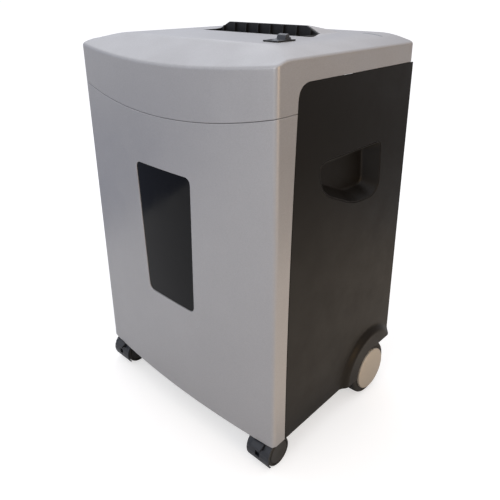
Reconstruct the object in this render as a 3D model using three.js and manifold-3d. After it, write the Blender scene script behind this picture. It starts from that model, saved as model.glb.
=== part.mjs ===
// An office paper shredder on wheels: silver cutter head and pull-out bin front, black side panels,
// cutter block with motor and gears, waste bin on rails, two braked casters and two fixed rear wheels.
// Millimetres, +Z up from the floor, -Y is the front, X = 0 is the middle plane.
import * as THREE from "three";
import { mergeVertices } from "three/addons/utils/BufferGeometryUtils.js";
import Module from "manifold-3d";

const wasm = await Module();
wasm.setup();

// ---------- driving dimensions ----------
const WIDTH = 430; // across the side panels
const SIDE_X = WIDTH / 2;
const FRONT_CORNER_Y = -155.5; // the line through the two front corners
const REAR_Y = 173.2;
const BODY_BOTTOM = 50;
const SEAM_AT_CORNER = 563; // lower edge of the cutter head, which dips in the middle
const SEAM_DIP = 26;
const TOP = 642; // flat of the head
const BULGE_TOP = 18; // how far the front bows out, at the top and at the bottom
const BULGE_BOTTOM = 12.5;
const FRONT_CORNER_R = 7;
const REAR_CORNER_R = 6;
const WALL = 3;
const GAP = 0.6; // clearance between neighbouring shells
const FAR = 240; // how far a tool reaches that cuts right across the body
const SKY = 760; // a height well over the head

const BEVEL_BACK_Y = -103.5; // where the front bevel meets the flat top
const BEVEL_LOW_CORNER = 625;
const BEVEL_LOW_DIP = 13;
const CREASE_Z = 630; // outer edge of the side bevel
const CREASE_IN_X = 172; // inner edge of the side bevel

const THROAT_HALF = 111; // paper throat: wide enough for a 216 mm sheet
const THROAT_FRONT_Y = 16.5;
const THROAT_REAR_Y = 61.5;
const HUMP_RISE = 12.5;
const HUMP_END_RUN = 24;
const HUMP_DEEP = 62; // from the throat's rear edge to the foot of the slope behind the lip
const HUMP_CREST = 7;
const END_LEAN = 1.87; // how far each end of the opening leans in for each mm of rise
const NIP_Y = 39; // vertical plane in which the paper runs down
const SLOT_WIDE = 7;

const PANEL_TOP = 600; // black side panel
const PANEL_FRONT_LOW_Y = FRONT_CORNER_Y + 27;
const PANEL_FRONT_HIGH_Y = FRONT_CORNER_Y + 40;
const PANEL_FRONT_BOW = 3.5;
const PANEL_CORNER_R = 25;

const WHEEL_Y = 105.5; // rear wheels
const WHEEL_R = 50;
const WHEEL_OUT_X = 220.4;
const WHEEL_IN_X = 191;
const HUB_R = 38.5;
const HUB_OUT_X = 226;
const FENDER_OUT_X = 223.5;
const NOTCH_R = 42; // radius of the round notch in the side panel at a rear wheel
const WELL_R = 53;
const AXLE_R = 5;

const CASTER_X = 186.5;
const CASTER_STEM_Y = -116.5;
const CASTER_AXLE_Y = -135;
const CASTER_R = 24;

const SHAFT_Z = 532; // cutter shafts
const FRONT_SHAFT_Y = NIP_Y - 22;
const REAR_SHAFT_Y = NIP_Y + 22;
const CUTTER_R = 25.5;
const SPACER_R = 15;
const MOTOR_Y = FRONT_SHAFT_Y - 72;
const MOTOR_R = 31;
const PLATE_X = 128; // inner face of the cutter side plates
const DECK_Z = 466;
const BULKHEAD_Y = -106;

// ---------- colours ----------
const material = (color, roughness, metalness) =>
  new THREE.MeshStandardMaterial({ color, roughness, metalness });
const SILVER = material(0xa9abb2, 0.42, 0.35);
const BLACK = material(0x2a2826, 0.55, 0);
const DARK = material(0x17181a, 0.5, 0);
const GREY = material(0x3a3d42, 0.5, 0);
const STEEL = material(0x9a9da0, 0.35, 1);
const RUBBER = material(0x1b1b1b, 0.8, 0);
const SMOKED = material(0x20242a, 0.12, 0);
const CAP = material(0xb3aa98, 0.4, 0.4);
const BOARD = material(0x1f5a34, 0.5, 0);
const LENS = material(0x3c5a50, 0.2, 0);

// ---------- solids ----------
const root = new THREE.Group();

// A closed geometry as a solid whose faces point out.
function solidOf(geometry) {
  const bare = geometry.clone();
  bare.deleteAttribute("normal");
  bare.deleteAttribute("uv");
  const merged = mergeVertices(bare, 1e-4);
  const index = [];
  for (let i = 0; i < merged.index.count; i += 3) {
    const [a, b, c] = merged.index.array.slice(i, i + 3);
    if (a !== b && b !== c && c !== a) index.push(a, b, c); // leaves out the empty faces at a pole
  }
  const vertProperties = merged.attributes.position.array;
  const make = (triVerts) => new wasm.Manifold(new wasm.Mesh({ numProp: 3, vertProperties, triVerts }));
  const made = make(new Uint32Array(index));
  return made.volume() < 0 ? make(new Uint32Array(index.reverse())) : made;
}

// Adds a solid to the model as a named mesh.
function part(name, solid, look) {
  const mesh = solid.getMesh();
  const geometry = new THREE.BufferGeometry();
  geometry.setAttribute("position", new THREE.BufferAttribute(mesh.vertProperties, 3));
  geometry.setIndex(new THREE.BufferAttribute(mesh.triVerts, 1));
  geometry.computeVertexNormals();
  const made = new THREE.Mesh(geometry, look.clone());
  made.name = name;
  root.add(made);
}

const joined = (solids) => solids.reduce((a, b) => a.add(b));
const cut = (solid, tools) => tools.reduce((a, b) => a.subtract(b), solid);
const mirrored = (range, side) => (side > 0 ? range : [-range[1], -range[0]]);
const moved = (range, by) => range.map((v) => v + by);
const around = (middle, half) => [middle - half, middle + half];
const both = (half) => around(0, half);

function box([x0, x1], [y0, y1], [z0, z1]) {
  const geometry = new THREE.BoxGeometry(x1 - x0, y1 - y0, z1 - z0);
  geometry.translate((x0 + x1) / 2, (y0 + y1) / 2, (z0 + z1) / 2);
  return solidOf(geometry);
}

// A cylinder or cone along X, Y or Z; [a, b] is its centre in the other two axes, in order.
const TURN = {
  x: (a, b, t) => [t, a, b],
  y: (a, b, t) => [a, t, b],
  z: (a, b, t) => [a, b, t],
};
function cylinder(axis, [from, to], [a, b], radius, sides = 24, endRadius = radius) {
  const geometry = new THREE.CylinderGeometry(endRadius, radius, to - from, sides);
  if (axis === "x") geometry.rotateZ(-Math.PI / 2);
  if (axis === "z") geometry.rotateX(Math.PI / 2);
  geometry.translate(...TURN[axis](a, b, (from + to) / 2));
  return solidOf(geometry);
}

// A flat shape (u, v) swept along an axis: (Y, Z) along X, (X, Z) along Y, (X, Y) along Z.
const SWEEP = {
  x: [new THREE.Vector3(0, 1, 0), new THREE.Vector3(0, 0, 1), new THREE.Vector3(1, 0, 0)],
  y: [new THREE.Vector3(1, 0, 0), new THREE.Vector3(0, 0, 1), new THREE.Vector3(0, -1, 0)],
  z: [new THREE.Vector3(1, 0, 0), new THREE.Vector3(0, 1, 0), new THREE.Vector3(0, 0, 1)],
};
function prism(axis, shape, [from, to], curveSegments = 6) {
  const options = { depth: to - from, bevelEnabled: false, curveSegments };
  const geometry = new THREE.ExtrudeGeometry(shape, options);
  geometry.applyMatrix4(new THREE.Matrix4().makeBasis(...SWEEP[axis]));
  const start = axis === "y" ? to : from;
  geometry.translate(...TURN[axis](0, 0, start));
  return solidOf(geometry);
}

// A polygon whose corners are [u, v, radius].
function rounded(corners) {
  const shape = new THREE.Shape();
  corners.forEach(([u, v, radius = 0], i) => {
    const here = new THREE.Vector2(u, v);
    const [before, after] = [corners.at(i - 1), corners[(i + 1) % corners.length]].map(
      ([a, b]) => new THREE.Vector2(a, b).sub(here).setLength(radius).add(here),
    );
    if (i === 0) shape.moveTo(before.x, before.y);
    else shape.lineTo(before.x, before.y);
    if (radius > 0) shape.quadraticCurveTo(u, v, after.x, after.y);
  });
  shape.closePath();
  return shape;
}

// A rectangle with rounded corners, from its middle and its half sizes.
function roundedBox([u, v], [halfU, halfV], radius) {
  const corners = [[-1, -1], [1, -1], [1, 1], [-1, 1]];
  return rounded(corners.map(([a, b]) => [u + a * halfU, v + b * halfV, radius]));
}

// A level rectangle, as a section of a loft.
const level = ([x0, x1], [y0, y1], z) => [[x0, y0, z], [x1, y0, z], [x1, y1, z], [x0, y1, z]];

// A closed solid through sections of equal point count, given as arrays of [x, y, z].
function loft(sections) {
  const count = sections[0].length;
  const index = [];
  for (let s = 0; s + 1 < sections.length; s++) {
    for (let i = 0; i < count; i++) {
      const a = s * count + i;
      const b = s * count + ((i + 1) % count);
      index.push(a, b, b + count, a, b + count, a + count);
    }
  }
  const capOf = (section) => {
    const origin = new THREE.Vector3(...section[0]);
    const points = section.map((p) => new THREE.Vector3(...p).sub(origin));
    const normal = new THREE.Vector3();
    points.forEach((p, i) => normal.add(p.clone().cross(points[(i + 1) % count])));
    const turn = new THREE.Quaternion().setFromUnitVectors(
      normal.normalize(),
      new THREE.Vector3(0, 0, 1),
    );
    const flat = points.map((p) => p.applyQuaternion(turn)).map((p) => new THREE.Vector2(p.x, p.y));
    return THREE.ShapeUtils.triangulateShape(flat, []);
  };
  const last = (sections.length - 1) * count;
  for (const [a, b, c] of capOf(sections[0])) index.push(a, c, b);
  for (const [a, b, c] of capOf(sections.at(-1))) index.push(last + a, last + b, last + c);
  const geometry = new THREE.BufferGeometry();
  geometry.setAttribute("position", new THREE.Float32BufferAttribute(sections.flat(2), 3));
  geometry.setIndex(index);
  return solidOf(geometry);
}

// A ring or disc turned about X, from a profile of [radius, distance outwards from the middle].
function turned(profile, side, y, z, sides) {
  const geometry = new THREE.LatheGeometry(profile.map(([r, x]) => new THREE.Vector2(r, x)), sides);
  geometry.rotateZ(-side * Math.PI / 2);
  geometry.translate(0, y, z);
  return solidOf(geometry);
}

// ---------- body outline ----------
const bulgeAt = (z) =>
  BULGE_BOTTOM + ((BULGE_TOP - BULGE_BOTTOM) * (z - BODY_BOTTOM)) / (TOP - BODY_BOTTOM);
const frontY = (x, z, inset = 0) =>
  FRONT_CORNER_Y + inset - bulgeAt(z) * (1 - (x / (SIDE_X - inset)) ** 2);

// The plan of the body at a height, with its bowed front, set in by a distance.
function planAt(z, inset) {
  const half = SIDE_X - inset;
  const rear = REAR_Y - inset;
  const front = FRONT_CORNER_Y + inset;
  const r = Math.max(FRONT_CORNER_R - inset, 2);
  const back = Math.max(REAR_CORNER_R - inset, 1);
  const inner = half - r;
  const y = frontY(inner, z, inset);
  const slope = (2 * bulgeAt(z) * inner) / half ** 2;
  const shape = new THREE.Shape();
  shape.moveTo(half, rear - back);
  shape.lineTo(half, front + r);
  shape.quadraticCurveTo(half, y + slope * r, inner, y);
  shape.quadraticCurveTo(0, y - slope * inner, -inner, y);
  shape.quadraticCurveTo(-half, y + slope * r, -half, front + r);
  shape.lineTo(-half, rear - back);
  shape.quadraticCurveTo(-half, rear, -half + back, rear);
  shape.lineTo(half - back, rear);
  shape.quadraticCurveTo(half, rear, half, rear - back);
  const points = shape.getPoints(8);
  if (points[0].distanceTo(points.at(-1)) < 1e-6) points.pop();
  return points.map((p) => [p.x, p.y, z]);
}
const bodyBlock = ([z0, z1], inset) => loft([planAt(z0, inset), planAt(z1, inset)]);

// Everything under a line that dips in the middle of the front, or everything over it.
function smileShape(cornerZ, dip, farZ) {
  const shape = new THREE.Shape();
  const reach = FAR - 5;
  shape.moveTo(-reach, cornerZ);
  shape.lineTo(-SIDE_X, cornerZ);
  shape.quadraticCurveTo(0, cornerZ - 2 * dip, SIDE_X, cornerZ);
  shape.lineTo(reach, cornerZ);
  shape.lineTo(reach, farZ);
  shape.lineTo(-reach, farZ);
  shape.closePath();
  return shape;
}

// The front edge of the black panel: an outline in (Y, Z), open to the rear.
function panelShape(offset, rearY, topZ) {
  const low = PANEL_FRONT_LOW_Y + offset;
  const high = PANEL_FRONT_HIGH_Y + offset;
  const bowZ = (BODY_BOTTOM + SEAM_AT_CORNER) / 2;
  const cornerStart = topZ - PANEL_CORNER_R;
  const shape = new THREE.Shape();
  shape.moveTo(low, BODY_BOTTOM - 10);
  shape.lineTo(low, BODY_BOTTOM);
  shape.quadraticCurveTo((low + high) / 2 - 2 * PANEL_FRONT_BOW, bowZ, high, cornerStart);
  shape.quadraticCurveTo(high, topZ, high + PANEL_CORNER_R, topZ);
  shape.lineTo(rearY, topZ);
  shape.lineTo(rearY, BODY_BOTTOM - 10);
  shape.closePath();
  return shape;
}

// ---------- cutter head ----------
const BEVEL_STATIONS = 12;
const HEAD_LOW = SEAM_AT_CORNER - SEAM_DIP - 10;

// The outer form of the head, or its inside when set in. The inside runs on down to stay open there.
function headForm(inset) {
  const flat = TOP - inset;
  const low = inset > 0 ? HEAD_LOW - 77 : HEAD_LOW;
  const block = bodyBlock([low, flat], inset);
  const sections = [];
  for (let i = 0; i <= BEVEL_STATIONS; i++) {
    const x = FAR * ((2 * i) / BEVEL_STATIONS - 1);
    const clamped = THREE.MathUtils.clamp(x, -SIDE_X, SIDE_X);
    const lowZ = BEVEL_LOW_CORNER - BEVEL_LOW_DIP * (1 - (clamped / SIDE_X) ** 2) - inset;
    const lipY = frontY(clamped, lowZ);
    const drop = (flat - lowZ) / (BEVEL_BACK_Y - lipY);
    const farY = lipY - 30;
    const farZ = flat - drop * (BEVEL_BACK_Y - farY);
    sections.push([
      [x, BEVEL_BACK_Y, flat],
      [x, farY, farZ],
      [x, farY, SKY],
      [x, BEVEL_BACK_Y, SKY],
    ]);
  }
  const sideDrop = (TOP - CREASE_Z) / (SIDE_X - CREASE_IN_X);
  const sideCutters = [1, -1].map((side) => {
    const shape = rounded([
      [side * CREASE_IN_X, flat],
      [side * FAR, flat - sideDrop * (FAR - CREASE_IN_X)],
      [side * FAR, SKY],
      [side * CREASE_IN_X, SKY],
    ]);
    return prism("y", shape, both(FAR));
  });
  return cut(block, [loft(sections), ...sideCutters]);
}

// The raised lip behind the throat, with sloping ends and a long slope to the rear.
function hump(inset) {
  const foot = TOP - 1 - inset;
  const crest = foot + 1 + HUMP_RISE;
  const front = THROAT_REAR_Y + inset;
  return loft([
    level(both(THROAT_HALF + 2 - inset), [front, front + HUMP_DEEP - 2 * inset], foot),
    level(both(THROAT_HALF - HUMP_END_RUN - inset), [front, front + HUMP_CREST - inset], crest),
  ]);
}

const SWITCH_X = 138;
const SWITCH_Y = -63.5;
const SWITCH_HALF = [11.2, 15.7]; // half sizes of the switch body in the cover
const LENS_X = 164;
const LENS_Y = 129;
const LENS_HALF = [16.7, 3.7];

function topCover() {
  const shell = headForm(0).add(hump(0)).subtract(headForm(WALL).add(hump(WALL)));
  const belowSide = prism("x", panelShape(0, REAR_Y + 30, PANEL_TOP), both(FAR), 8);
  const belowFront = prism("y", smileShape(SEAM_AT_CORNER, SEAM_DIP, 400), [-FAR, -60], 12);
  const throatY = [THROAT_FRONT_Y, THROAT_REAR_Y + WALL + GAP];
  const over = HUMP_RISE + 8;
  const throat = box(both(THROAT_HALF), throatY, [TOP - 40, TOP + 0.02]);
  const throatAbove = loft([
    level(both(THROAT_HALF), throatY, TOP - 0.01),
    level(both(THROAT_HALF - END_LEAN * over), throatY, TOP + over),
  ]);
  const [switchU, switchV] = SWITCH_HALF;
  const switchHole = box(around(SWITCH_X, switchU + 0.3), around(SWITCH_Y, switchV + 0.3), [600, SKY]);
  const [lensU, lensV] = LENS_HALF;
  const lensHole = box(around(LENS_X, lensU + 0.3), around(LENS_Y, lensV + 0.3), [TOP - 1.5, SKY]);
  return cut(shell, [belowSide, belowFront, throat, throatAbove, switchHole, lensHole]);
}
part("top_cover", topCover(), SILVER);

// The black throat: a ribbed rear wall, a sloping front wall and two ends, narrowing to the paper slot.
const THROAT_RIBS = 8;
const RIB_HALF = 0.9;
const FUNNEL_Z = 598; // where the throat has narrowed to the paper slot
const SLOT_Z = 572; // lower end of the slot's walls
const GUIDE_FRONT_WALL = 2;
const GUIDE_REAR_WALL = 3.2;
function throatGuide() {
  const half = THROAT_HALF - 0.4;
  const inside = both(half - 3);
  const beyond = both(half + 1);
  const front = THROAT_FRONT_Y + 0.4;
  const rear = THROAT_REAR_Y + WALL + 0.2;
  const slotY = around(NIP_Y, SLOT_WIDE / 2);
  const mouthY = [front + GUIDE_FRONT_WALL, rear - GUIDE_REAR_WALL];
  const outer = box(both(half), [front, rear], [SLOT_Z, TOP - 0.4]);
  const lip = loft([
    level(both(half - 0.6), [mouthY[1], rear], TOP - 0.5),
    level(both(half - HUMP_END_RUN - 0.6), [mouthY[1], rear], TOP + HUMP_RISE - 0.4),
  ]);
  const funnel = loft([level(inside, slotY, FUNNEL_Z - 10), level(inside, mouthY, FUNNEL_Z + 22)]);
  const mouth = box(inside, mouthY, [FUNNEL_Z + 21.9, TOP + 5]);
  const slot = box(inside, slotY, [SLOT_Z - 1, FUNNEL_Z]);
  const trimFront = box(beyond, [front - 1, NIP_Y - 12], [SLOT_Z - 1, FUNNEL_Z - 8]);
  const trimRear = box(beyond, [NIP_Y + 12, rear + 1], [SLOT_Z - 1, FUNNEL_Z - 8]);
  const body = cut(outer.add(lip), [funnel, mouth, slot, trimFront, trimRear]);
  const ribs = [];
  for (let i = 0; i < THROAT_RIBS; i++) {
    const x = (2 * half * (i + 0.5)) / THROAT_RIBS - half;
    const rise = Math.min(HUMP_RISE, ((half - Math.abs(x)) * HUMP_RISE) / HUMP_END_RUN);
    const top = TOP + rise - 1.2;
    const shape = rounded([
      [rear - 1, FUNNEL_Z - 6],
      [slotY[1] + 0.5, FUNNEL_Z - 6],
      [rear - 12, FUNNEL_Z + 14],
      [rear - 7, top],
      [rear - 1, top],
    ]);
    ribs.push(prism("x", shape, around(x, RIB_HALF)));
  }
  return joined([body, ...ribs]);
}
part("throat_guide", throatGuide(), DARK);

// ---------- power switch and indicator ----------
function switchBezel() {
  const [halfU, halfV] = SWITCH_HALF;
  const rim = roundedBox([SWITCH_X, SWITCH_Y], [halfU + 2.8, halfV + 2.8], 2);
  const plate = prism("z", rim, [TOP + 0.3, TOP + 2], 2);
  const can = box(around(SWITCH_X, halfU), around(SWITCH_Y, halfV), [TOP - 20, TOP + 1]);
  const well = box(around(SWITCH_X, halfU - 1.2), around(SWITCH_Y, halfV - 1.2), [TOP - 10, TOP + 9]);
  return plate.add(can).subtract(well);
}
part("switch_bezel", switchBezel(), DARK);

// The rocker rests tipped with its rear end up, and turns about a pivot in the bezel.
const ROCKER_TILT = 9;
const ROCKER_HALF = 9.6;
function rocker() {
  const side = rounded([
    [-13.2, 2.5, 0.6],
    [-3, 1.6],
    [3, 1.6],
    [13.2, 2.5, 0.6],
    [12, -3.5, 1],
    [0, -6.5, 2],
    [-12, -3.5, 1],
  ]);
  const ridgeSide = rounded([[3, 1], [5.5, 6.5, 1], [12.4, 7.2, 1.5], [12.9, 2]]);
  const body = prism("x", side, both(ROCKER_HALF), 3);
  const ridge = prism("x", ridgeSide, both(ROCKER_HALF - 2.1), 3);
  return body.add(ridge).rotate([ROCKER_TILT, 0, 0]).translate([SWITCH_X, SWITCH_Y, TOP + 0.6]);
}
part("power_switch", rocker(), GREY);

const lensShape = roundedBox([LENS_X, LENS_Y], LENS_HALF, 2);
part("indicator_lens", prism("z", lensShape, [TOP - 1.2, TOP + 0.6], 3), LENS);

// ---------- side panels with wheel fenders, and grip cups ----------
// The finger recess: flat top, upright rear edge, sloping bottom. Corners are [Y, Z, radius].
const GRIP = [
  [FRONT_CORNER_Y + 84, BODY_BOTTOM + 438, 26],
  [FRONT_CORNER_Y + 248, BODY_BOTTOM + 438, 13],
  [FRONT_CORNER_Y + 255, BODY_BOTTOM + 347, 34],
  [FRONT_CORNER_Y + 180, BODY_BOTTOM + 350, 24],
  [FRONT_CORNER_Y + 98, BODY_BOTTOM + 388, 24],
];
// The recess outline with every side moved inwards by a distance, as points.
function gripOutline(inset) {
  const corners = GRIP.map(([y, z, radius], i) => {
    const here = new THREE.Vector2(y, z);
    const back = new THREE.Vector2(...GRIP.at(i - 1)).sub(here).normalize();
    const ahead = new THREE.Vector2(...GRIP[(i + 1) % GRIP.length]).sub(here).normalize();
    const bisector = back.clone().add(ahead).normalize();
    const half = Math.acos(THREE.MathUtils.clamp(back.dot(ahead), -1, 1)) / 2;
    here.addScaledVector(bisector, inset / Math.sin(half));
    return [here.x, here.y, Math.max(radius - inset, 4)];
  });
  const points = rounded(corners).getPoints(3);
  if (points[0].distanceTo(points.at(-1)) < 1e-6) points.pop();
  return points.map((p) => [p.x, p.y]);
}
const gripAt = (x, inset) => gripOutline(inset).map(([y, z]) => [x, y, z]);

function sidePanel(side) {
  const s = (x) => side * x;
  const span = (a, b) => mirrored([a, b], side);
  const plate = prism("x", panelShape(GAP, REAR_Y, PANEL_TOP - GAP), span(SIDE_X - WALL, SIDE_X), 8);
  const fender = cylinder("x", span(SIDE_X - 1, FENDER_OUT_X), [WHEEL_Y, WHEEL_R], 82, 48)
    .intersect(fenderDome(side));
  const trim = box(span(190, FAR), [-200, REAR_Y], [BODY_BOTTOM, 620]);
  const well = cylinder("x", span(180, FENDER_OUT_X - 2.5), [WHEEL_Y, WHEEL_R], WELL_R, 36);
  const notch = cylinder("x", span(180, FAR), [WHEEL_Y, WHEEL_R], NOTCH_R, 36);
  const rearCut = box(span(180, FAR), [WHEEL_Y, REAR_Y + 5], [0, WHEEL_R + NOTCH_R]);
  const grip = loft([gripAt(s(200), 0), gripAt(s(230), 0)]);
  return cut(plate.add(fender).intersect(trim), [well, notch, rearCut, grip]);
}
// A low dome over the wheel: full height inside 73 mm of the axle, down to the panel at 84 mm.
function fenderDome(side) {
  const profile = [
    [0, 200],
    [86, 200],
    [84, SIDE_X - GAP],
    [80, SIDE_X + 1.2],
    [76, SIDE_X + 5.4],
    [72, FENDER_OUT_X],
    [0, FENDER_OUT_X],
  ];
  return turned(profile, side, WHEEL_Y, WHEEL_R, 48);
}

// A finger cup that plugs the panel's hole: a tapered tray with a rounded-off outline.
const CUP_DEEP = 28;
const CUP_TAPER = 15; // how much narrower all round the cup is at its bottom
const CUP_WALL = 2.5;
function gripCup(side) {
  const s = (x) => side * x;
  const bottom = SIDE_X - CUP_DEEP;
  const outer = loft([
    gripAt(s(bottom), CUP_TAPER),
    gripAt(s(SIDE_X - WALL), 1.2),
    gripAt(s(SIDE_X - 0.8), 0.5),
  ]);
  const inner = loft([
    gripAt(s(bottom + CUP_WALL), CUP_TAPER + CUP_WALL),
    gripAt(s(SIDE_X - WALL), 1.1 + CUP_WALL),
    gripAt(s(SIDE_X + 1), 0.1 + CUP_WALL),
  ]);
  return outer.subtract(inner);
}
for (const [name, side] of [["left", -1], ["right", 1]]) {
  part(`side_panel_${name}`, sidePanel(side), BLACK);
  part(`grip_cup_${name}`, gripCup(side), BLACK);
}

// ---------- rear panel with vents and the power inlet ----------
const INLET_X = -150;
const INLET_Z = 500;
const VENT_MIDDLE_X = 38;
const VENT_PITCH_X = 62;
const VENT_HALF = 24;
const VENT_LOW_Z = 488;
const VENT_PITCH_Z = 13;
const VENT_HIGH = 5;
const VENT_ROWS = 7;
function rearPanel() {
  const half = SIDE_X - WALL - GAP;
  const through = [REAR_Y - 23, REAR_Y + 17];
  const top = PANEL_TOP - GAP;
  const plate = box(both(half), [REAR_Y - WALL, REAR_Y - 0.3], [BODY_BOTTOM, top]);
  const flangeY = [REAR_Y - 22, REAR_Y - WALL + 0.5];
  const flanges = [-1, 1].map((side) =>
    box(mirrored([half - 2.5, half], side), flangeY, [BODY_BOTTOM + 80, top]),
  );
  const slots = [];
  for (const column of [-1, 0, 1]) {
    const x = VENT_MIDDLE_X + column * VENT_PITCH_X;
    for (let row = 0; row < VENT_ROWS; row++) {
      const z = VENT_LOW_Z + row * VENT_PITCH_Z;
      slots.push(box(around(x, VENT_HALF), through, [z, z + VENT_HIGH]));
    }
  }
  const inletHole = box(around(INLET_X, 14), through, around(INLET_Z, 10.5));
  const wheelCuts = [-1, 1].map((side) =>
    box(mirrored([184, FAR], side), through, [0, WHEEL_R + WELL_R + 2]),
  );
  return cut(joined([plate, ...flanges]), [...slots, inletHole, ...wheelCuts]);
}
part("rear_panel", rearPanel(), BLACK);

const PINS = [[-7, -1], [0, 2], [7, -1]]; // each pin's place in the socket, across and up
function powerInlet() {
  const body = box(around(INLET_X, 13.6), [REAR_Y - 24, REAR_Y], around(INLET_Z, 10.1));
  const rimY = [REAR_Y - WALL - 2.4, REAR_Y - WALL - 0.4];
  const rim = box(around(INLET_X, 24), rimY, around(INLET_Z, 14));
  const socket = prism("y", rounded([
    [INLET_X - 11.6, INLET_Z - 8],
    [INLET_X + 11.6, INLET_Z - 8],
    [INLET_X + 11.6, INLET_Z + 3],
    [INLET_X + 6, INLET_Z + 8],
    [INLET_X - 6, INLET_Z + 8],
    [INLET_X - 11.6, INLET_Z + 3],
  ]), [REAR_Y - 18, REAR_Y + 5]);
  const pins = PINS.map(([across, up]) =>
    box(around(INLET_X + across, 1), [REAR_Y - 20, REAR_Y - 3], around(INLET_Z + up - 0.5, 2)),
  );
  return joined([body.add(rim).subtract(socket), ...pins]);
}
part("power_inlet", powerInlet(), DARK);

// ---------- base pan, axle and rear wheels ----------
const PAN_HALF = SIDE_X - WALL - GAP;
const PAN_LOW = BODY_BOTTOM + 0.4;
const PAN_FLOOR = 58;
const PAN_RIM = 3;
const ARCH_IN_X = 184; // inner wall of the arch over a rear wheel
const ARCH_TOP = 108;
const ARCH_WALL = 2.5;
function basePan() {
  const front = PANEL_FRONT_LOW_Y + 3;
  const rear = REAR_Y - WALL - GAP;
  const plan = box(both(PAN_HALF), [front, rear], [PAN_LOW, PAN_FLOOR + 2]);
  const under = box(both(PAN_HALF - PAN_RIM), [front + PAN_RIM, rear - PAN_RIM], [0, PAN_FLOOR]);
  const extras = [];
  const cuts = [];
  for (const side of [-1, 1]) {
    const span = (a, b) => mirrored([a, b], side);
    const stem = [side * CASTER_X, CASTER_STEM_Y];
    const archRoomY = [WHEEL_Y - 57 + ARCH_WALL, REAR_Y + 5];
    extras.push(box(span(ARCH_IN_X, PAN_HALF), [WHEEL_Y - 57, rear], [PAN_LOW, ARCH_TOP]));
    cuts.push(box(span(ARCH_IN_X + ARCH_WALL, PAN_HALF + 5), archRoomY, [0, ARCH_TOP - ARCH_WALL]));
    extras.push(box(span(166, ARCH_IN_X + 0.5), around(WHEEL_Y, 11), [WHEEL_R - 9, PAN_FLOOR + 1]));
    extras.push(cylinder("z", [PAN_LOW, 84], stem, 9.5, 14));
    cuts.push(cylinder("z", [0, 80], stem, 6.2, 14));
    cuts.push(cylinder("x", span(150, 200), [WHEEL_Y, WHEEL_R], AXLE_R + 0.4, 14));
  }
  return cut(joined([plan.subtract(under), ...extras]), cuts);
}
part("base_pan", basePan(), BLACK);
part("rear_axle", cylinder("x", both(WHEEL_OUT_X - 3), [WHEEL_Y, WHEEL_R], AXLE_R, 16), STEEL);

const RIM_R = 37;
const TYRE_BORE = RIM_R + 0.4;
const HUB_STUB_R = 12; // the hub's inner stub, which keeps the wheel off the arch
function rearWheel(name, side) {
  const [near, far] = [WHEEL_IN_X, WHEEL_OUT_X];
  const bore = AXLE_R + 0.5;
  const tyre = [
    [TYRE_BORE, near],
    [WHEEL_R - 4, near],
    [WHEEL_R, near + 5],
    [WHEEL_R, far - 5],
    [WHEEL_R - 3.5, far],
    [TYRE_BORE, far],
    [TYRE_BORE, near],
  ];
  const core = [
    [bore, near - 4],
    [HUB_STUB_R, near - 4],
    [HUB_STUB_R, near + 8],
    [RIM_R - 4, near + 8],
    [RIM_R - 4, near + 1],
    [RIM_R, near + 1],
    [RIM_R, far - 2],
    [bore, far - 2],
    [bore, near - 4],
  ];
  const cap = [
    [0, far + 0.4],
    [0, HUB_OUT_X],
    [HUB_R - 3, HUB_OUT_X - 0.8],
    [HUB_R, HUB_OUT_X - 3],
    [HUB_R, far + 0.4],
    [0, far + 0.4],
  ];
  part(`rear_tyre_${name}`, turned(tyre, side, WHEEL_Y, WHEEL_R, 32), RUBBER);
  part(`wheel_core_${name}`, turned(core, side, WHEEL_Y, WHEEL_R, 20), BLACK);
  part(`hub_cap_${name}`, turned(cap, side, WHEEL_Y, WHEEL_R, 28), CAP);
}
rearWheel("left", -1);
rearWheel("right", 1);

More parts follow.
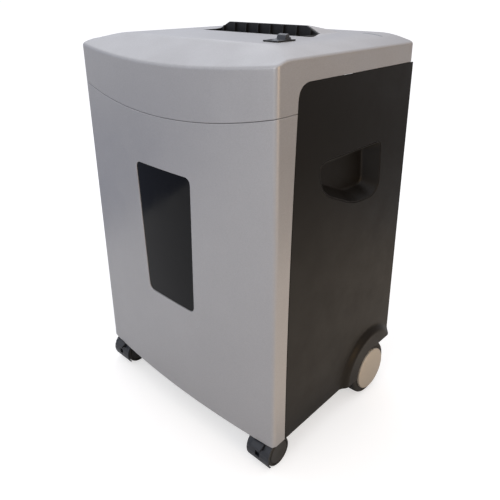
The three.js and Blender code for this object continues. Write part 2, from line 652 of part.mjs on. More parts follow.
// ---------- front casters: stem, hood, axle, two wheels and a brake pedal each ----------
const CASTER_WHEEL_IN = 5.2;
const CASTER_WHEEL_OUT = 22.5;
const CASTER_AXLE_HALF = 18.5;
const CASTER_BORE = 3.5;
const HOOD_TOP = 48.6;
const HOOD_HALF = 22.6;
const HOOD_ROOM_R = 25; // the hood's hollow over the wheels
const PEDAL_HALF = 9.6;
const AXLE_Z = CASTER_R;
function casterHood(x) {
  const web = CASTER_WHEEL_IN - 0.7;
  const axle = [CASTER_AXLE_Y, AXLE_Z];
  // The web between the wheels and, over them, a shell that follows the tread.
  const middle = prism("x", rounded([
    [CASTER_AXLE_Y - 22, 16, 3],
    [CASTER_AXLE_Y + 14, 9, 3],
    [CASTER_STEM_Y + 11, 30, 3],
    [CASTER_STEM_Y + 11, HOOD_TOP - 1],
    [CASTER_AXLE_Y - 12, HOOD_TOP - 1, 8],
    [CASTER_AXLE_Y - 25, 38, 8],
  ]), around(x, web), 3);
  const drum = cylinder("x", around(x, HOOD_HALF), axle, HOOD_ROOM_R + 2.4, 24);
  const hollow = cylinder("x", around(x, 30), axle, HOOD_ROOM_R, 24);
  const quarter = prism("x", rounded([
    [CASTER_AXLE_Y - 40, 8],
    [CASTER_AXLE_Y - 14, 8],
    [CASTER_AXLE_Y + 4, 30],
    [CASTER_AXLE_Y + 18, 42],
    [CASTER_AXLE_Y + 18, HOOD_TOP],
    [CASTER_AXLE_Y - 40, HOOD_TOP],
  ]), around(x, HOOD_HALF));
  const shell = drum.subtract(hollow).intersect(quarter);
  const socket = cylinder("z", [30, HOOD_TOP - 0.4], [x, CASTER_STEM_Y], 9, 16);
  const bore = cylinder("z", [40, 60], [x, CASTER_STEM_Y], 6.1, 16);
  const axleBore = cylinder("x", around(x, 30), axle, CASTER_BORE, 12);
  const frontY = CASTER_AXLE_Y - 40;
  const pedalGap = box(around(x, PEDAL_HALF + 0.9), [frontY, CASTER_AXLE_Y - 14.2], [36.5, 60]);
  const window = box(around(x, 4.5), [frontY, CASTER_AXLE_Y - 22.5], [21, 30]);
  const wheelRoom = [-1, 1].map((side) =>
    cylinder("x", moved(mirrored([web, 30], side), x), axle, HOOD_ROOM_R, 24),
  );
  return cut(joined([middle, shell, cut(socket, wheelRoom)]), [bore, axleBore, pedalGap, window]);
}
// A wheel that is closed on its outer face, with a shallow groove round a flat disc.
function casterWheel(x, side) {
  const [near, far] = [CASTER_WHEEL_IN, CASTER_WHEEL_OUT];
  const profile = [
    [CASTER_BORE, near],
    [CASTER_R - 1, near],
    [CASTER_R, near + 1.5],
    [CASTER_R, far - 2],
    [CASTER_R - 1.2, far - 0.4],
    [20.4, far - 2],
    [18.5, far],
    [0, far],
    [0, far - 3],
    [CASTER_BORE, far - 3],
    [CASTER_BORE, near],
  ];
  return turned(profile, side, CASTER_AXLE_Y, AXLE_Z, 20).translate([x, 0, 0]);
}
// The pedal stands on the hood's front and presses a pad on the tread when it is trodden down.
function brakePedal(x) {
  return prism("x", rounded([
    [CASTER_AXLE_Y - 15.2, 45.4, 1],
    [CASTER_AXLE_Y - 18, 47.8, 1],
    [CASTER_AXLE_Y - 31, 42.2, 1.5],
    [CASTER_AXLE_Y - 31.5, 39, 1],
    [CASTER_AXLE_Y - 20.5, 40.6, 1],
  ]), around(x, PEDAL_HALF), 3);
}
for (const [name, side] of [["left", -1], ["right", 1]]) {
  const x = side * CASTER_X;
  const stem = cylinder("z", [41, 78], [x, CASTER_STEM_Y], 5.6, 16);
  const collar = cylinder("z", [HOOD_TOP + 0.3, BODY_BOTTOM], [x, CASTER_STEM_Y], 9, 16);
  const axle = cylinder("x", around(x, CASTER_AXLE_HALF), [CASTER_AXLE_Y, AXLE_Z], 3, 12);
  part(`caster_stem_${name}`, stem.add(collar), STEEL);
  part(`caster_hood_${name}`, casterHood(x), GREY);
  part(`caster_axle_${name}`, axle, STEEL);
  part(`caster_wheel_${name}_outer`, casterWheel(x, side), DARK);
  part(`caster_wheel_${name}_inner`, casterWheel(x, -side), DARK);
  part(`brake_pedal_${name}`, brakePedal(x), GREY);
}

// ---------- pull-out bin ----------
const LOCK_X = -120; // the safety switch that feels that the bin is shut
const LOCK_Z = 505;
const WINDOW_TOP = BODY_BOTTOM + 406;
const WINDOW_BOTTOM = BODY_BOTTOM + 178;
const WINDOW_TOP_HALF = 65;
const WINDOW_BOTTOM_HALF = 57;
const windowShape = (grow) => rounded([
  [-WINDOW_BOTTOM_HALF - grow, WINDOW_BOTTOM - grow, 12],
  [WINDOW_BOTTOM_HALF + grow, WINDOW_BOTTOM - grow, 12],
  [WINDOW_TOP_HALF + grow, WINDOW_TOP + grow, 12],
  [-WINDOW_TOP_HALF - grow, WINDOW_TOP + grow, 12],
]);
const windowTool = (grow) => prism("y", windowShape(grow), [-200, -120], 4);
const BIN_TOP = 455;
const BIN_FLOOR = 68;
function binFront() {
  const seam = SEAM_AT_CORNER - GAP;
  const upTo = SEAM_AT_CORNER + 20;
  const overSeam = (z) => prism("y", smileShape(z, SEAM_DIP, SKY), both(FAR), 12);
  const besidePanel = prism("x", panelShape(0, REAR_Y + 30, SEAM_AT_CORNER + 90), both(FAR), 6);
  const form = cut(bodyBlock([BODY_BOTTOM, upTo], 0), [overSeam(seam), besidePanel]);
  const inside = bodyBlock([BODY_BOTTOM + WALL, upTo + 17], WALL).subtract(overSeam(seam - WALL));
  const strikerY = [FRONT_CORNER_Y - 10, BULKHEAD_Y - 18.6];
  const striker = box(around(LOCK_X, 4), strikerY, around(LOCK_Z, 4));
  return form.subtract(inside).add(striker).subtract(windowTool(0));
}
part("bin_front", binFront(), SILVER);

function binWindow() {
  const slab = (from, to) => bodyBlock([150, 520], from).subtract(bodyBlock([140, 530], to));
  const pane = slab(1.3, 5).intersect(windowTool(-0.4));
  const rim = slab(3.4, 5).intersect(windowTool(8));
  return pane.add(rim);
}
part("bin_window", binWindow(), SMOKED);

const BIN_HALF = 180;
const BIN_FRONT_Y = FRONT_CORNER_Y + 7;
const BIN_REAR_Y = REAR_Y - 22;
const BIN_WALL = 2.6;
// The box of the bin, a little narrower at the bottom, set in by a wall.
function binForm(inset, floorZ, topZ) {
  const top = [BIN_HALF - inset, [BIN_FRONT_Y + inset, BIN_REAR_Y - inset]];
  const bottom = [BIN_HALF - 4 - inset, [BIN_FRONT_Y + 3 + inset, BIN_REAR_Y - 4 - inset]];
  return loft([level(both(bottom[0]), bottom[1], floorZ), level(both(top[0]), top[1], topZ)]);
}
const RUNNER_X = [146, 153];
function binBox() {
  const outer = binForm(0, BIN_FLOOR, BIN_TOP);
  const inner = binForm(BIN_WALL, BIN_FLOOR + BIN_WALL, BIN_TOP + 2);
  const rim = box(both(BIN_HALF + 4), [BIN_FRONT_Y - 1, BIN_REAR_Y + 4], [BIN_TOP - 6, BIN_TOP]);
  const view = prism("y", windowShape(-4), [BIN_FRONT_Y - 10, BIN_FRONT_Y + 12], 2);
  const runnerY = [BIN_FRONT_Y + 10, BIN_REAR_Y - 12];
  const postY = [BIN_FRONT_Y - 11.5, BIN_FRONT_Y + 4];
  const runners = [-1, 1].map((side) =>
    box(mirrored(RUNNER_X, side), runnerY, [BIN_FLOOR - 4.4, BIN_FLOOR + 1]),
  );
  const posts = [-1, 1].map((side) =>
    box(mirrored([120, 132], side), postY, [BIN_FLOOR + 20, BIN_TOP - 30]),
  );
  return cut(joined([outer, rim, ...runners, ...posts]), [inner, view]);
}
part("bin_box", binBox(), DARK);
for (const [name, side] of [["left", -1], ["right", 1]]) {
  const [inX, outX] = RUNNER_X;
  const railZ = [PAN_FLOOR + 2.3, BIN_FLOOR - 1.4];
  const grooveX = mirrored([inX - 0.6, outX + 0.6], side);
  const rail = box(mirrored([inX - 3, outX + 3], side), [BIN_FRONT_Y + 8, BIN_REAR_Y - 6], railZ);
  const groove = box(grooveX, [BIN_FRONT_Y, BIN_REAR_Y - 9], [BIN_FLOOR - 4.9, 80]);
  part(`bin_rail_${name}`, rail.subtract(groove), GREY);
}

// ---------- cutter deck and cutter block ----------
function cutterDeck() {
  const half = PAN_HALF - 0.6;
  const plate = box([-half, half], [BULKHEAD_Y, REAR_Y - 26], [DECK_Z, DECK_Z + 3]);
  const bulkhead = box([-half, half], [BULKHEAD_Y, BULKHEAD_Y + 3], [DECK_Z, 596]);
  const drop = box([-118, 118], [NIP_Y - 40, NIP_Y + 40], [DECK_Z - 5, DECK_Z + 5]);
  const cupRoom = [-1, 1].map((side) =>
    box(mirrored([SIDE_X - CUP_DEEP - 1, 230], side), [-68, 96], [DECK_Z - 5, DECK_Z + 5]),
  );
  return cut(plate.add(bulkhead), [drop, ...cupRoom]);
}
part("cutter_deck", cutterDeck(), STEEL);

const PLATE_THICK = 5;
const PLATE_TOP = 582;
const RODS = [[NIP_Y + 52, 488], [NIP_Y + 52, 572], [FRONT_SHAFT_Y - 32, 486], [FRONT_SHAFT_Y - 32, 574]];
const ROD_R = 4;
const SHAFT_R = 9;
for (const [name, side] of [["left", -1], ["right", 1]]) {
  const span = mirrored([PLATE_X, PLATE_X + PLATE_THICK], side);
  const plate = prism("x", rounded([
    [MOTOR_Y - 12, DECK_Z + 3.4],
    [NIP_Y + 62, DECK_Z + 3.4],
    [NIP_Y + 62, PLATE_TOP, 10],
    [MOTOR_Y - 12, PLATE_TOP, 10],
  ]), span, 3);
  const shaftBores = [FRONT_SHAFT_Y, REAR_SHAFT_Y].map((y) =>
    cylinder("x", span, [y, SHAFT_Z], SHAFT_R + 0.5, 14),
  );
  const rodBores = RODS.map((place) => cylinder("x", span, place, ROD_R + 0.5, 8));
  const motorBore = cylinder("x", span, [MOTOR_Y, SHAFT_Z], 8, 12);
  part(`cutter_plate_${name}`, cut(plate, [...shaftBores, ...rodBores, motorBore]), STEEL);
}
RODS.forEach((place, i) => {
  part(`tie_rod_${i + 1}`, cylinder("x", [-138, 134.5], place, ROD_R, 8), STEEL);
});

// Cutting discs in turn with spacers, so that one shaft's discs run between the other's.
const DISC_PITCH = 34;
const DISC_WIDE = 15;
const FIRST_DISC_X = -110;
const SHAFT_SHOULDER = 120; // where the spacers end and the shaft narrows
function cutterShaft(y, offset, rightEnd) {
  const leftEnd = -136;
  const profile = [
    [0, leftEnd],
    [SHAFT_R, leftEnd],
    [SHAFT_R, -SHAFT_SHOULDER],
    [SPACER_R, -SHAFT_SHOULDER],
  ];
  for (let x = FIRST_DISC_X + offset; x + DISC_WIDE < SHAFT_SHOULDER; x += DISC_PITCH) {
    profile.push([SPACER_R, x], [CUTTER_R, x], [CUTTER_R, x + DISC_WIDE], [SPACER_R, x + DISC_WIDE]);
  }
  profile.push([SPACER_R, SHAFT_SHOULDER], [SHAFT_R, SHAFT_SHOULDER], [SHAFT_R, rightEnd], [0, rightEnd]);
  return turned(profile, 1, y, SHAFT_Z, 14);
}
part("cutter_shaft_front", cutterShaft(FRONT_SHAFT_Y, 0, 166), STEEL);
part("cutter_shaft_rear", cutterShaft(REAR_SHAFT_Y, DISC_PITCH / 2, 150), STEEL);

// A spur gear with straight-sided teeth; a tooth points at the given angle.
function gear(teeth, pitchR, [from, to], [y, z], bore, tooth0) {
  const module = (2 * pitchR) / teeth;
  const step = (2 * Math.PI) / teeth;
  const [root, tip] = [pitchR - 1.2 * module, pitchR + 0.8 * module];
  const tooth = [[root, -0.3], [tip, -0.12], [tip, 0.12], [root, 0.3]]; // radius, share of a step
  const shape = new THREE.Shape();
  for (let i = 0; i < teeth; i++) {
    tooth.forEach(([r, share], corner) => {
      const t = tooth0 + (i + share) * step;
      const at = [r * Math.cos(t), r * Math.sin(t)];
      if (i === 0 && corner === 0) shape.moveTo(...at);
      else shape.lineTo(...at);
    });
  }
  shape.closePath();
  return prism("x", shape, [from, to])
    .translate([0, y, z])
    .subtract(cylinder("x", [from - 1, to + 1], [y, z], bore, 14));
}
const SYNC_TEETH = 14;
const SYNC_X = [136, 147];
const SYNC_R = (REAR_SHAFT_Y - FRONT_SHAFT_Y) / 2;
const DRIVE_TEETH = 36;
const DRIVE_X = [151, 161];
const PINION_TEETH = 9;
const DRIVE_SPACING = FRONT_SHAFT_Y - MOTOR_Y;
const DRIVE_PITCH_R = (DRIVE_SPACING * DRIVE_TEETH) / (DRIVE_TEETH + PINION_TEETH);
const PINION_PITCH_R = DRIVE_SPACING - DRIVE_PITCH_R;
const FRONT_SHAFT = [FRONT_SHAFT_Y, SHAFT_Z];
const REAR_SHAFT = [REAR_SHAFT_Y, SHAFT_Z];
const MOTOR = [MOTOR_Y, SHAFT_Z];
const GEAR_BORE = SHAFT_R + 0.3;
const syncGear = (shaft, tooth0) => gear(SYNC_TEETH, SYNC_R, SYNC_X, shaft, GEAR_BORE, tooth0);
part("sync_gear_front", syncGear(FRONT_SHAFT, 0), STEEL);
part("sync_gear_rear", syncGear(REAR_SHAFT, Math.PI / SYNC_TEETH), STEEL);
part("drive_gear", gear(DRIVE_TEETH, DRIVE_PITCH_R, DRIVE_X, FRONT_SHAFT, GEAR_BORE, Math.PI), STEEL);

const ROTOR_R = 5;
function motorBody() {
  const can = cylinder("x", [2, 118], MOTOR, MOTOR_R, 20);
  const nose = cylinder("x", [117, PLATE_X - 0.4], MOTOR, 16, 14);
  const foot = box([40, 100], [MOTOR_Y - 22, MOTOR_Y + 18], [DECK_Z + 3.4, SHAFT_Z - 20]);
  const bore = cylinder("x", [60, 140], MOTOR, ROTOR_R + 0.7, 12);
  return joined([can, nose, foot]).subtract(bore);
}
part("motor_body", motorBody(), STEEL);
const pinion = gear(PINION_TEETH, PINION_PITCH_R, [150.5, 161.5], MOTOR, 4, Math.PI / PINION_TEETH);
part("motor_rotor", cylinder("x", [62, 163], MOTOR, ROTOR_R, 12).add(pinion), STEEL);

// Combs that strip paper from between the discs.
function combBar(shaftY, offset, side) {
  const end = 118;
  const barY = moved(mirrored([CUTTER_R + 3, CUTTER_R + 8], side), shaftY);
  const fingerY = moved(mirrored([SPACER_R + 2, CUTTER_R + 4], side), shaftY);
  const bar = box(both(end), barY, [SHAFT_Z - 28, SHAFT_Z + 12]);
  const fingers = [];
  for (let x = FIRST_DISC_X + offset + DISC_WIDE + 2; x + 10 < end; x += DISC_PITCH) {
    fingers.push(box([x, x + DISC_PITCH - DISC_WIDE - 4], fingerY, [SHAFT_Z - 8, SHAFT_Z + 4]));
  }
  return joined([bar, ...fingers]);
}
part("stripper_comb_front", combBar(FRONT_SHAFT_Y, 0, -1), STEEL);
part("stripper_comb_rear", combBar(REAR_SHAFT_Y, DISC_PITCH / 2, 1), STEEL);

// ---------- electrics ----------
function circuitBoard() {
  const board = box([-203, -201], [-60, 50], [482, 576]);
  const blocks = [
    box([-201.1, -185], [-50, -24], [492, 520]),
    box([-201.1, -180], [-14, 12], [490, 530]),
    cylinder("x", [-201.1, -176], [30, 506], 10, 16),
    cylinder("x", [-201.1, -182], [34, 548], 7, 16),
    box([-201.1, -192], [-50, -6], [546, 562]),
  ];
  return joined([board, ...blocks]);
}
part("circuit_board", circuitBoard(), BOARD);

// A microswitch on the bulkhead whose plunger feels that the bin is shut.
const PLUNGER_R = 3;
const lockCan = box(around(LOCK_X, 12), [BULKHEAD_Y - 12, BULKHEAD_Y - 0.4], around(LOCK_Z, 9));
const lockBoreY = [BULKHEAD_Y - 20, BULKHEAD_Y - 3];
const lockBore = cylinder("y", lockBoreY, [LOCK_X, LOCK_Z], PLUNGER_R + 0.4, 12);
const plunger = cylinder("y", [BULKHEAD_Y - 18, BULKHEAD_Y - 7], [LOCK_X, LOCK_Z], PLUNGER_R, 12);
part("interlock_switch", lockCan.subtract(lockBore), DARK);
part("interlock_plunger", plunger, CAP);

part("paper_sensor", box([-10, 10], [NIP_Y + 14, NIP_Y + 22], [566, 584]), DARK);

export default root;
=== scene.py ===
"""An office paper shredder on wheels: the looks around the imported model. Metres, +Z up, -Y is the front."""

import math

import bmesh
import bpy
import numpy as np
from mathutils import Matrix, Vector
from mathutils.geometry import delaunay_2d_cdt
from mathutils.kdtree import KDTree


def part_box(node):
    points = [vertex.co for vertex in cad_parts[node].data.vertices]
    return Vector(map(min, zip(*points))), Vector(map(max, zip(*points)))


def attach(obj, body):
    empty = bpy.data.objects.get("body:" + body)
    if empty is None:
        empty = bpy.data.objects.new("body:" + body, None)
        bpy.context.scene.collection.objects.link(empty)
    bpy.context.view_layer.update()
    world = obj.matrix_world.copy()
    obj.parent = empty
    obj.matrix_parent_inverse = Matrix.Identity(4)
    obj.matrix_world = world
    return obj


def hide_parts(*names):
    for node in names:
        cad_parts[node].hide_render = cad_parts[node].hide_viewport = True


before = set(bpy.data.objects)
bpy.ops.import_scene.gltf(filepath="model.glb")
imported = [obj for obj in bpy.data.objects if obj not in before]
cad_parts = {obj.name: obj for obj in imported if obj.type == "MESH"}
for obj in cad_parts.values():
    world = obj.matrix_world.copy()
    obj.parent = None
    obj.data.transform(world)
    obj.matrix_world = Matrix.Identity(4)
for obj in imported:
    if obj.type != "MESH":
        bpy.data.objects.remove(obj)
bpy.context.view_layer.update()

MM = 0.001


def box_mm(node):
    """Lowest and highest corner of a CAD node in millimetres."""
    low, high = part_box(node)
    return low / MM, high / MM


# ---------- sizes, in millimetres ----------
COVER_HIGH = box_mm("top_cover")[1]
BIN_LOW = box_mm("bin_front")[0]
PANEL_HIGH = box_mm("side_panel_right")[1]
TYRE_LOW, TYRE_HIGH = box_mm("rear_tyre_right")
CAP_LOW, CAP_HIGH = box_mm("hub_cap_right")
THROAT_LOW, THROAT_HIGH = box_mm("throat_guide")
BEZEL_LOW, BEZEL_HIGH = box_mm("switch_bezel")
LENS_LOW, LENS_HIGH = box_mm("indicator_lens")
INLET_LOW, INLET_HIGH = box_mm("power_inlet")

SIDE_X = COVER_HIGH.x
REAR_Y = COVER_HIGH.y
BOTTOM = BIN_LOW.z
HUMP_RISE = 12.5
TOP = COVER_HIGH.z - HUMP_RISE
PANEL_TOP = PANEL_HIGH.z + 0.6
FRONT_CORNER_Y = -155.5
BULGE_TOP = 18
BULGE_BOTTOM = 12.5
CORNER_R = 7
REAR_CORNER_R = 10
CORNER_RUN = 11
REAR_RUN = 15.7
SEAM_AT_CORNER = 563
SEAM_DIP = 26
GAP = 0.6
SHELL = 2.6

BEVEL_BACK_Y = -103.5
BEVEL_LOW_CORNER = 625
BEVEL_LOW_DIP = 13
CREASE_Z = 630
CREASE_IN_X = 172
EDGE_R = 3.4

THROAT_ROOM = 0.4
THROAT_HALF = 111
THROAT_FRONT_Y = THROAT_LOW.y - THROAT_ROOM
THROAT_REAR_Y = 61.5
HUMP_END_ROOM = 2
HUMP_END_RUN = 26
HUMP_START = 12
HUMP_START_RUN = 30
HUMP_FLAT = 7
HUMP_REAR_RUN = 55

PANEL_FRONT_LOW_Y = FRONT_CORNER_Y + 27
PANEL_FRONT_HIGH_Y = FRONT_CORNER_Y + 40
PANEL_FRONT_BOW = 3.5
PANEL_CORNER_R = 25

WHEEL_Y = (TYRE_LOW.y + TYRE_HIGH.y) / 2
WHEEL_R = (TYRE_HIGH.z - TYRE_LOW.z) / 2
WHEEL_Z = WHEEL_R
HUB_R = (CAP_HIGH.z - CAP_LOW.z) / 2
AXIS_R = 0.01
NOTCH_R = 42
FENDER_RISE = PANEL_HIGH.x - SIDE_X
FENDER_OUTER_R = 86
FENDER_INNER_R = 71


# ---------- materials ----------
class Nodes:
    """Adds nodes to a material and links them in one call each."""

    def __init__(self, material):
        self.tree = material.node_tree
        self.shader = self.tree.nodes["Principled BSDF"]
        self.place = self.tree.nodes.new("ShaderNodeTexCoord").outputs["Object"]

    def add(self, kind, inputs=None, **settings):
        node = self.tree.nodes.new(kind)
        for key, value in settings.items():
            setattr(node, key, value)
        for key, value in (inputs or {}).items():
            if isinstance(value, bpy.types.NodeSocket):
                self.tree.links.new(value, node.inputs[key])
            else:
                node.inputs[key].default_value = value
        return node

    def noise(self, scale, detail=2.0, roughness=0.5):
        inputs = {"Vector": self.place, "Scale": scale, "Detail": detail, "Roughness": roughness}
        return self.add("ShaderNodeTexNoise", inputs).outputs["Fac"]

    def spread(self, value, low, high):
        """A noise value taken from 0.3..0.7 to low..high."""
        inputs = {"Value": value, "From Min": 0.3, "From Max": 0.7, "To Min": low, "To Max": high}
        return self.add("ShaderNodeMapRange", inputs).outputs["Result"]

    def mix(self, factor, a, b, blend="MIX"):
        node = self.add("ShaderNodeMix", data_type="RGBA", blend_type=blend)
        for socket, value in ((node.inputs[0], factor), (node.inputs[6], a), (node.inputs[7], b)):
            if isinstance(value, bpy.types.NodeSocket):
                self.tree.links.new(value, socket)
            else:
                socket.default_value = value
        return node.outputs[2]

    def bump(self, height, strength, distance, under=None):
        inputs = {"Height": height, "Strength": strength, "Distance": distance * MM}
        if under is not None:
            inputs["Normal"] = under
        return self.add("ShaderNodeBump", inputs).outputs["Normal"]

    def link(self, output, socket):
        self.tree.links.new(output, self.shader.inputs[socket])


def tint(colour, factor):
    return (*(min(1.0, c * factor) for c in colour), 1.0)


def surface(name, colour, roughness, metallic=0.0, grain=(900, 0.12, 0.05), blotch=0.05,
            flake=0.0, wear=0.0, orange_peel=0.0, **sockets):
    """A procedural finish: blotchy colour and roughness, a fine grain in relief, flakes and rubbed edges."""
    material = bpy.data.materials.new(name)
    material.use_nodes = True
    nodes = Nodes(material)
    nodes.shader.inputs["Metallic"].default_value = metallic
    for key, value in sockets.items():
        nodes.shader.inputs[key.replace("_", " ")].default_value = value
    wide = nodes.noise(9, 3.0)
    tone = nodes.mix(nodes.spread(wide, 0.0, 1.0), tint(colour, 1 - blotch), tint(colour, 1 + blotch))
    grain_scale, grain_strength, grain_depth = grain
    fine = nodes.noise(grain_scale, 2.0, 0.6)
    if flake:
        spark = nodes.spread(fine, 1 - flake, 1 + flake)
        dust = nodes.spread(nodes.noise(grain_scale * 0.37, 2.0), 1 - flake * 0.6, 1 + flake * 0.6)
        grey = nodes.add("ShaderNodeMath", {0: spark, 1: dust}, operation="MULTIPLY").outputs[0]
        shade = nodes.add("ShaderNodeCombineColor", {"Red": grey, "Green": grey, "Blue": grey})
        tone = nodes.mix(1.0, tone, shade.outputs["Color"], "MULTIPLY")
    if wear:
        edge = nodes.add("ShaderNodeNewGeometry").outputs["Pointiness"]
        reach = {"Value": edge, "From Min": 0.53, "From Max": 0.62, "To Min": 0.0, "To Max": wear}
        rubbed = nodes.add("ShaderNodeMapRange", reach).outputs["Result"]
        broken = nodes.spread(nodes.noise(60, 4.0), 0.2, 1.0)
        amount = nodes.add("ShaderNodeMath", {0: rubbed, 1: broken}, operation="MULTIPLY").outputs[0]
        tone = nodes.mix(amount, tone, tint(colour, 1.8))
    nodes.link(tone, "Base Color")
    smudge = nodes.noise(22, 4.0, 0.6)
    nodes.link(nodes.spread(smudge, roughness - 0.04, roughness + 0.05), "Roughness")
    relief = nodes.bump(fine, grain_strength, grain_depth)
    if orange_peel:
        relief = nodes.bump(nodes.noise(130, 1.0), orange_peel, 0.2, relief)
    nodes.link(relief, "Normal")
    return material


SILVER = surface("silver_paint", (0.46, 0.457, 0.468), 0.40, 0.5, (1500, 0.07, 0.04), 0.015, flake=0.06,
                 wear=0.1, orange_peel=0.03)
BLACK = surface("black_panel", (0.0068, 0.0056, 0.0044), 0.42, 0.0, (1300, 0.30, 0.08), 0.08, wear=0.04,
                Specular_IOR_Level=0.25)
DARK = surface("dark_plastic", (0.011, 0.012, 0.014), 0.42, 0.0, (1100, 0.18, 0.06), 0.1)
GREY = surface("grey_plastic", (0.045, 0.050, 0.060), 0.34, 0.0, (1000, 0.14, 0.05), 0.08, wear=0.08)
CASTER = surface("caster_plastic", (0.020, 0.023, 0.030), 0.33, 0.0, (1000, 0.15, 0.05), 0.12, wear=0.08)
DISC = surface("caster_wheel_plastic", (0.030, 0.029, 0.027), 0.52, 0.0, (900, 0.25, 0.06), 0.12)
TYRE = surface("tyre_rubber", (0.018, 0.017, 0.016), 0.72, 0.0, (700, 0.35, 0.10), 0.16)
HUB = surface("hub_silver", (0.47, 0.42, 0.35), 0.38, 0.15, (1700, 0.06, 0.03), 0.03, flake=0.05)
GLASS = surface("smoked_window", (0.002, 0.0022, 0.003), 0.12, 0.0, (160, 0.015, 0.05), 0.08,
                Specular_IOR_Level=0.2)
LENS = surface("indicator_lens", (0.30, 0.32, 0.34), 0.20, 0.0, (500, 0.05, 0.05), 0.05)
STEEL = surface("machined_steel", (0.42, 0.42, 0.43), 0.34, 1.0, (600, 0.10, 0.04), 0.1)
ZINC = surface("zinc_plate", (0.44, 0.45, 0.47), 0.42, 0.9, (300, 0.08, 0.04), 0.14)
BOARD = surface("board_green", (0.015, 0.095, 0.045), 0.45, 0.0, (900, 0.1, 0.05), 0.15)


# ---------- making meshes ----------
def new_object(name, data):
    obj = bpy.data.objects.new(name, data)
    bpy.context.scene.collection.objects.link(obj)
    return obj


def piece(name, points, faces, material, body, slot, stands_for):
    """A closed mesh from points in millimetres, with its faces pointing out, riding on a CAD body."""
    mesh = bpy.data.meshes.new(name)
    mesh.from_pydata([tuple(float(c) * MM for c in p) for p in points], [], [list(f) for f in faces])
    bm = bmesh.new()
    bm.from_mesh(mesh)
    bmesh.ops.remove_doubles(bm, verts=bm.verts, dist=1e-6)
    bmesh.ops.dissolve_degenerate(bm, edges=bm.edges, dist=1e-7)
    bmesh.ops.recalc_face_normals(bm, faces=bm.faces)
    bm.to_mesh(mesh)
    bm.free()
    mesh.polygons.foreach_set("use_smooth", [True] * len(mesh.polygons))
    mesh.materials.append(material)
    obj = new_object(name, mesh)
    normals = obj.modifiers.new("normals", "WEIGHTED_NORMAL")
    normals.keep_sharp = True
    normals.weight = 80
    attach(obj, body)
    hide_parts(*stands_for)


def rounded(corners, segments=8):
    """A closed outline from corners (u, v, radius), each rounded by a quadratic curve."""
    points = []
    for i, (u, v, radius) in enumerate(corners):
        here = np.array((u, v), float)
        if not radius:
            points.append(tuple(here))
            continue
        ends = []
        for other in (corners[i - 1], corners[(i + 1) % len(corners)]):
            way = np.array(other[:2], float) - here
            ends.append(here + way / np.linalg.norm(way) * radius)
        for t in np.linspace(0, 1, segments + 1):
            points.append(tuple((1 - t) ** 2 * ends[0] + 2 * t * (1 - t) * here + t * t * ends[1]))
    return points


def rectangle(u0, u1, v0, v1, radius=0.0, segments=5):
    return rounded([(u0, v0, radius), (u1, v0, radius), (u1, v1, radius), (u0, v1, radius)], segments)


def dense(loop, step):
    """The same closed outline with no stretch longer than step."""
    points = []
    for a, b in zip(loop, loop[1:] + loop[:1]):
        a, b = np.array(a, float), np.array(b, float)
        parts = max(1, math.ceil(np.linalg.norm(b - a) / step))
        points += [tuple(a + (b - a) * k / parts) for k in range(parts)]
    return points


def turned_ccw(loop, ccw):
    area = sum(a[0] * b[1] - b[0] * a[1] for a, b in zip(loop, loop[1:] + loop[:1]))
    return loop if (area > 0) == ccw else loop[::-1]


def moved_in(loop, distance):
    """The outline with every side moved to its left by a distance."""
    points = np.array(loop, float)
    ahead = np.roll(points, -1, axis=0) - points
    ahead /= np.linalg.norm(ahead, axis=1)[:, None]
    left = np.stack([-ahead[:, 1], ahead[:, 0]], axis=1)
    both = left + np.roll(left, 1, axis=0)
    both /= np.linalg.norm(both, axis=1)[:, None]
    spread = np.maximum(np.sum(both * left, axis=1), 0.5)
    return points + both * (distance / spread)[:, None]


def inside(points, loops):
    """Which points lie inside the first loop and outside the others, by counting crossings."""
    x, y = points[:, 0:1], points[:, 1:2]
    crossings = np.zeros(len(points), int)
    for loop in loops:
        a = np.asarray(loop, float)
        b = np.roll(a, -1, axis=0)
        rise = np.where(np.abs(b[:, 1] - a[:, 1]) < 1e-12, 1e-12, b[:, 1] - a[:, 1])
        at = a[:, 0] + (y - a[:, 1]) * (b[:, 0] - a[:, 0]) / rise
        crossings += np.sum(((a[:, 1] > y) != (b[:, 1] > y)) & (x < at), axis=1)
    return crossings % 2 == 1


def region(faces, fences, start):
    """The faces that can be reached from face number start without crossing a fence, a pair of corners."""
    beside = {}
    for i, face in enumerate(faces):
        for pair in map(frozenset, zip(face, face[1:] + face[:1])):
            if pair not in fences:
                beside.setdefault(pair, []).append(i)
    reach = {i: [] for i in range(len(faces))}
    for pair in beside.values():
        if len(pair) == 2:
            reach[pair[0]].append(pair[1])
            reach[pair[1]].append(pair[0])
    kept, todo = {start}, [start]
    while todo:
        for i in reach[todo.pop()]:
            if i not in kept:
                kept.add(i)
                todo.append(i)
    return [faces[i] for i in sorted(kept)]


def triangles(loops, fill):
    """Triangles between the loops and over the fill points; indices run through the loops, then the fill."""
    points = np.concatenate([*loops, fill])
    edges, start = [], 0
    for loop in loops:
        count = len(loop)
        edges += [(start + i, start + (i + 1) % count) for i in range(count)]
        start += count
    cut = delaunay_2d_cdt([Vector(p) for p in points], edges, [], 0, 1e-6)
    faces = [[cut[3][v][0] for v in face] for face in cut[2]]
    corners = points[np.array(faces)]
    a, b = corners[:, 1] - corners[:, 0], corners[:, 2] - corners[:, 0]
    area = np.abs(a[:, 0] * b[:, 1] - a[:, 1] * b[:, 0]) * inside(corners.mean(axis=1), loops)
    return region(faces, {frozenset(edge) for edge in edges}, int(np.argmax(area)))


def clear_of(fill, loops, room):
    """The fill points inside the loops that keep room to every loop."""
    fill = np.asarray(fill, float).reshape(-1, 2)
    fill = fill[inside(fill, loops)]
    edge = np.concatenate([dense(loop.tolist(), room) for loop in loops])
    tree = KDTree(len(edge))
    for i, p in enumerate(edge):
        tree.insert((*p, 0), i)
    tree.balance()
    return np.array([p for p in fill if tree.find((*p, 0))[2] > room]).reshape(-1, 2)


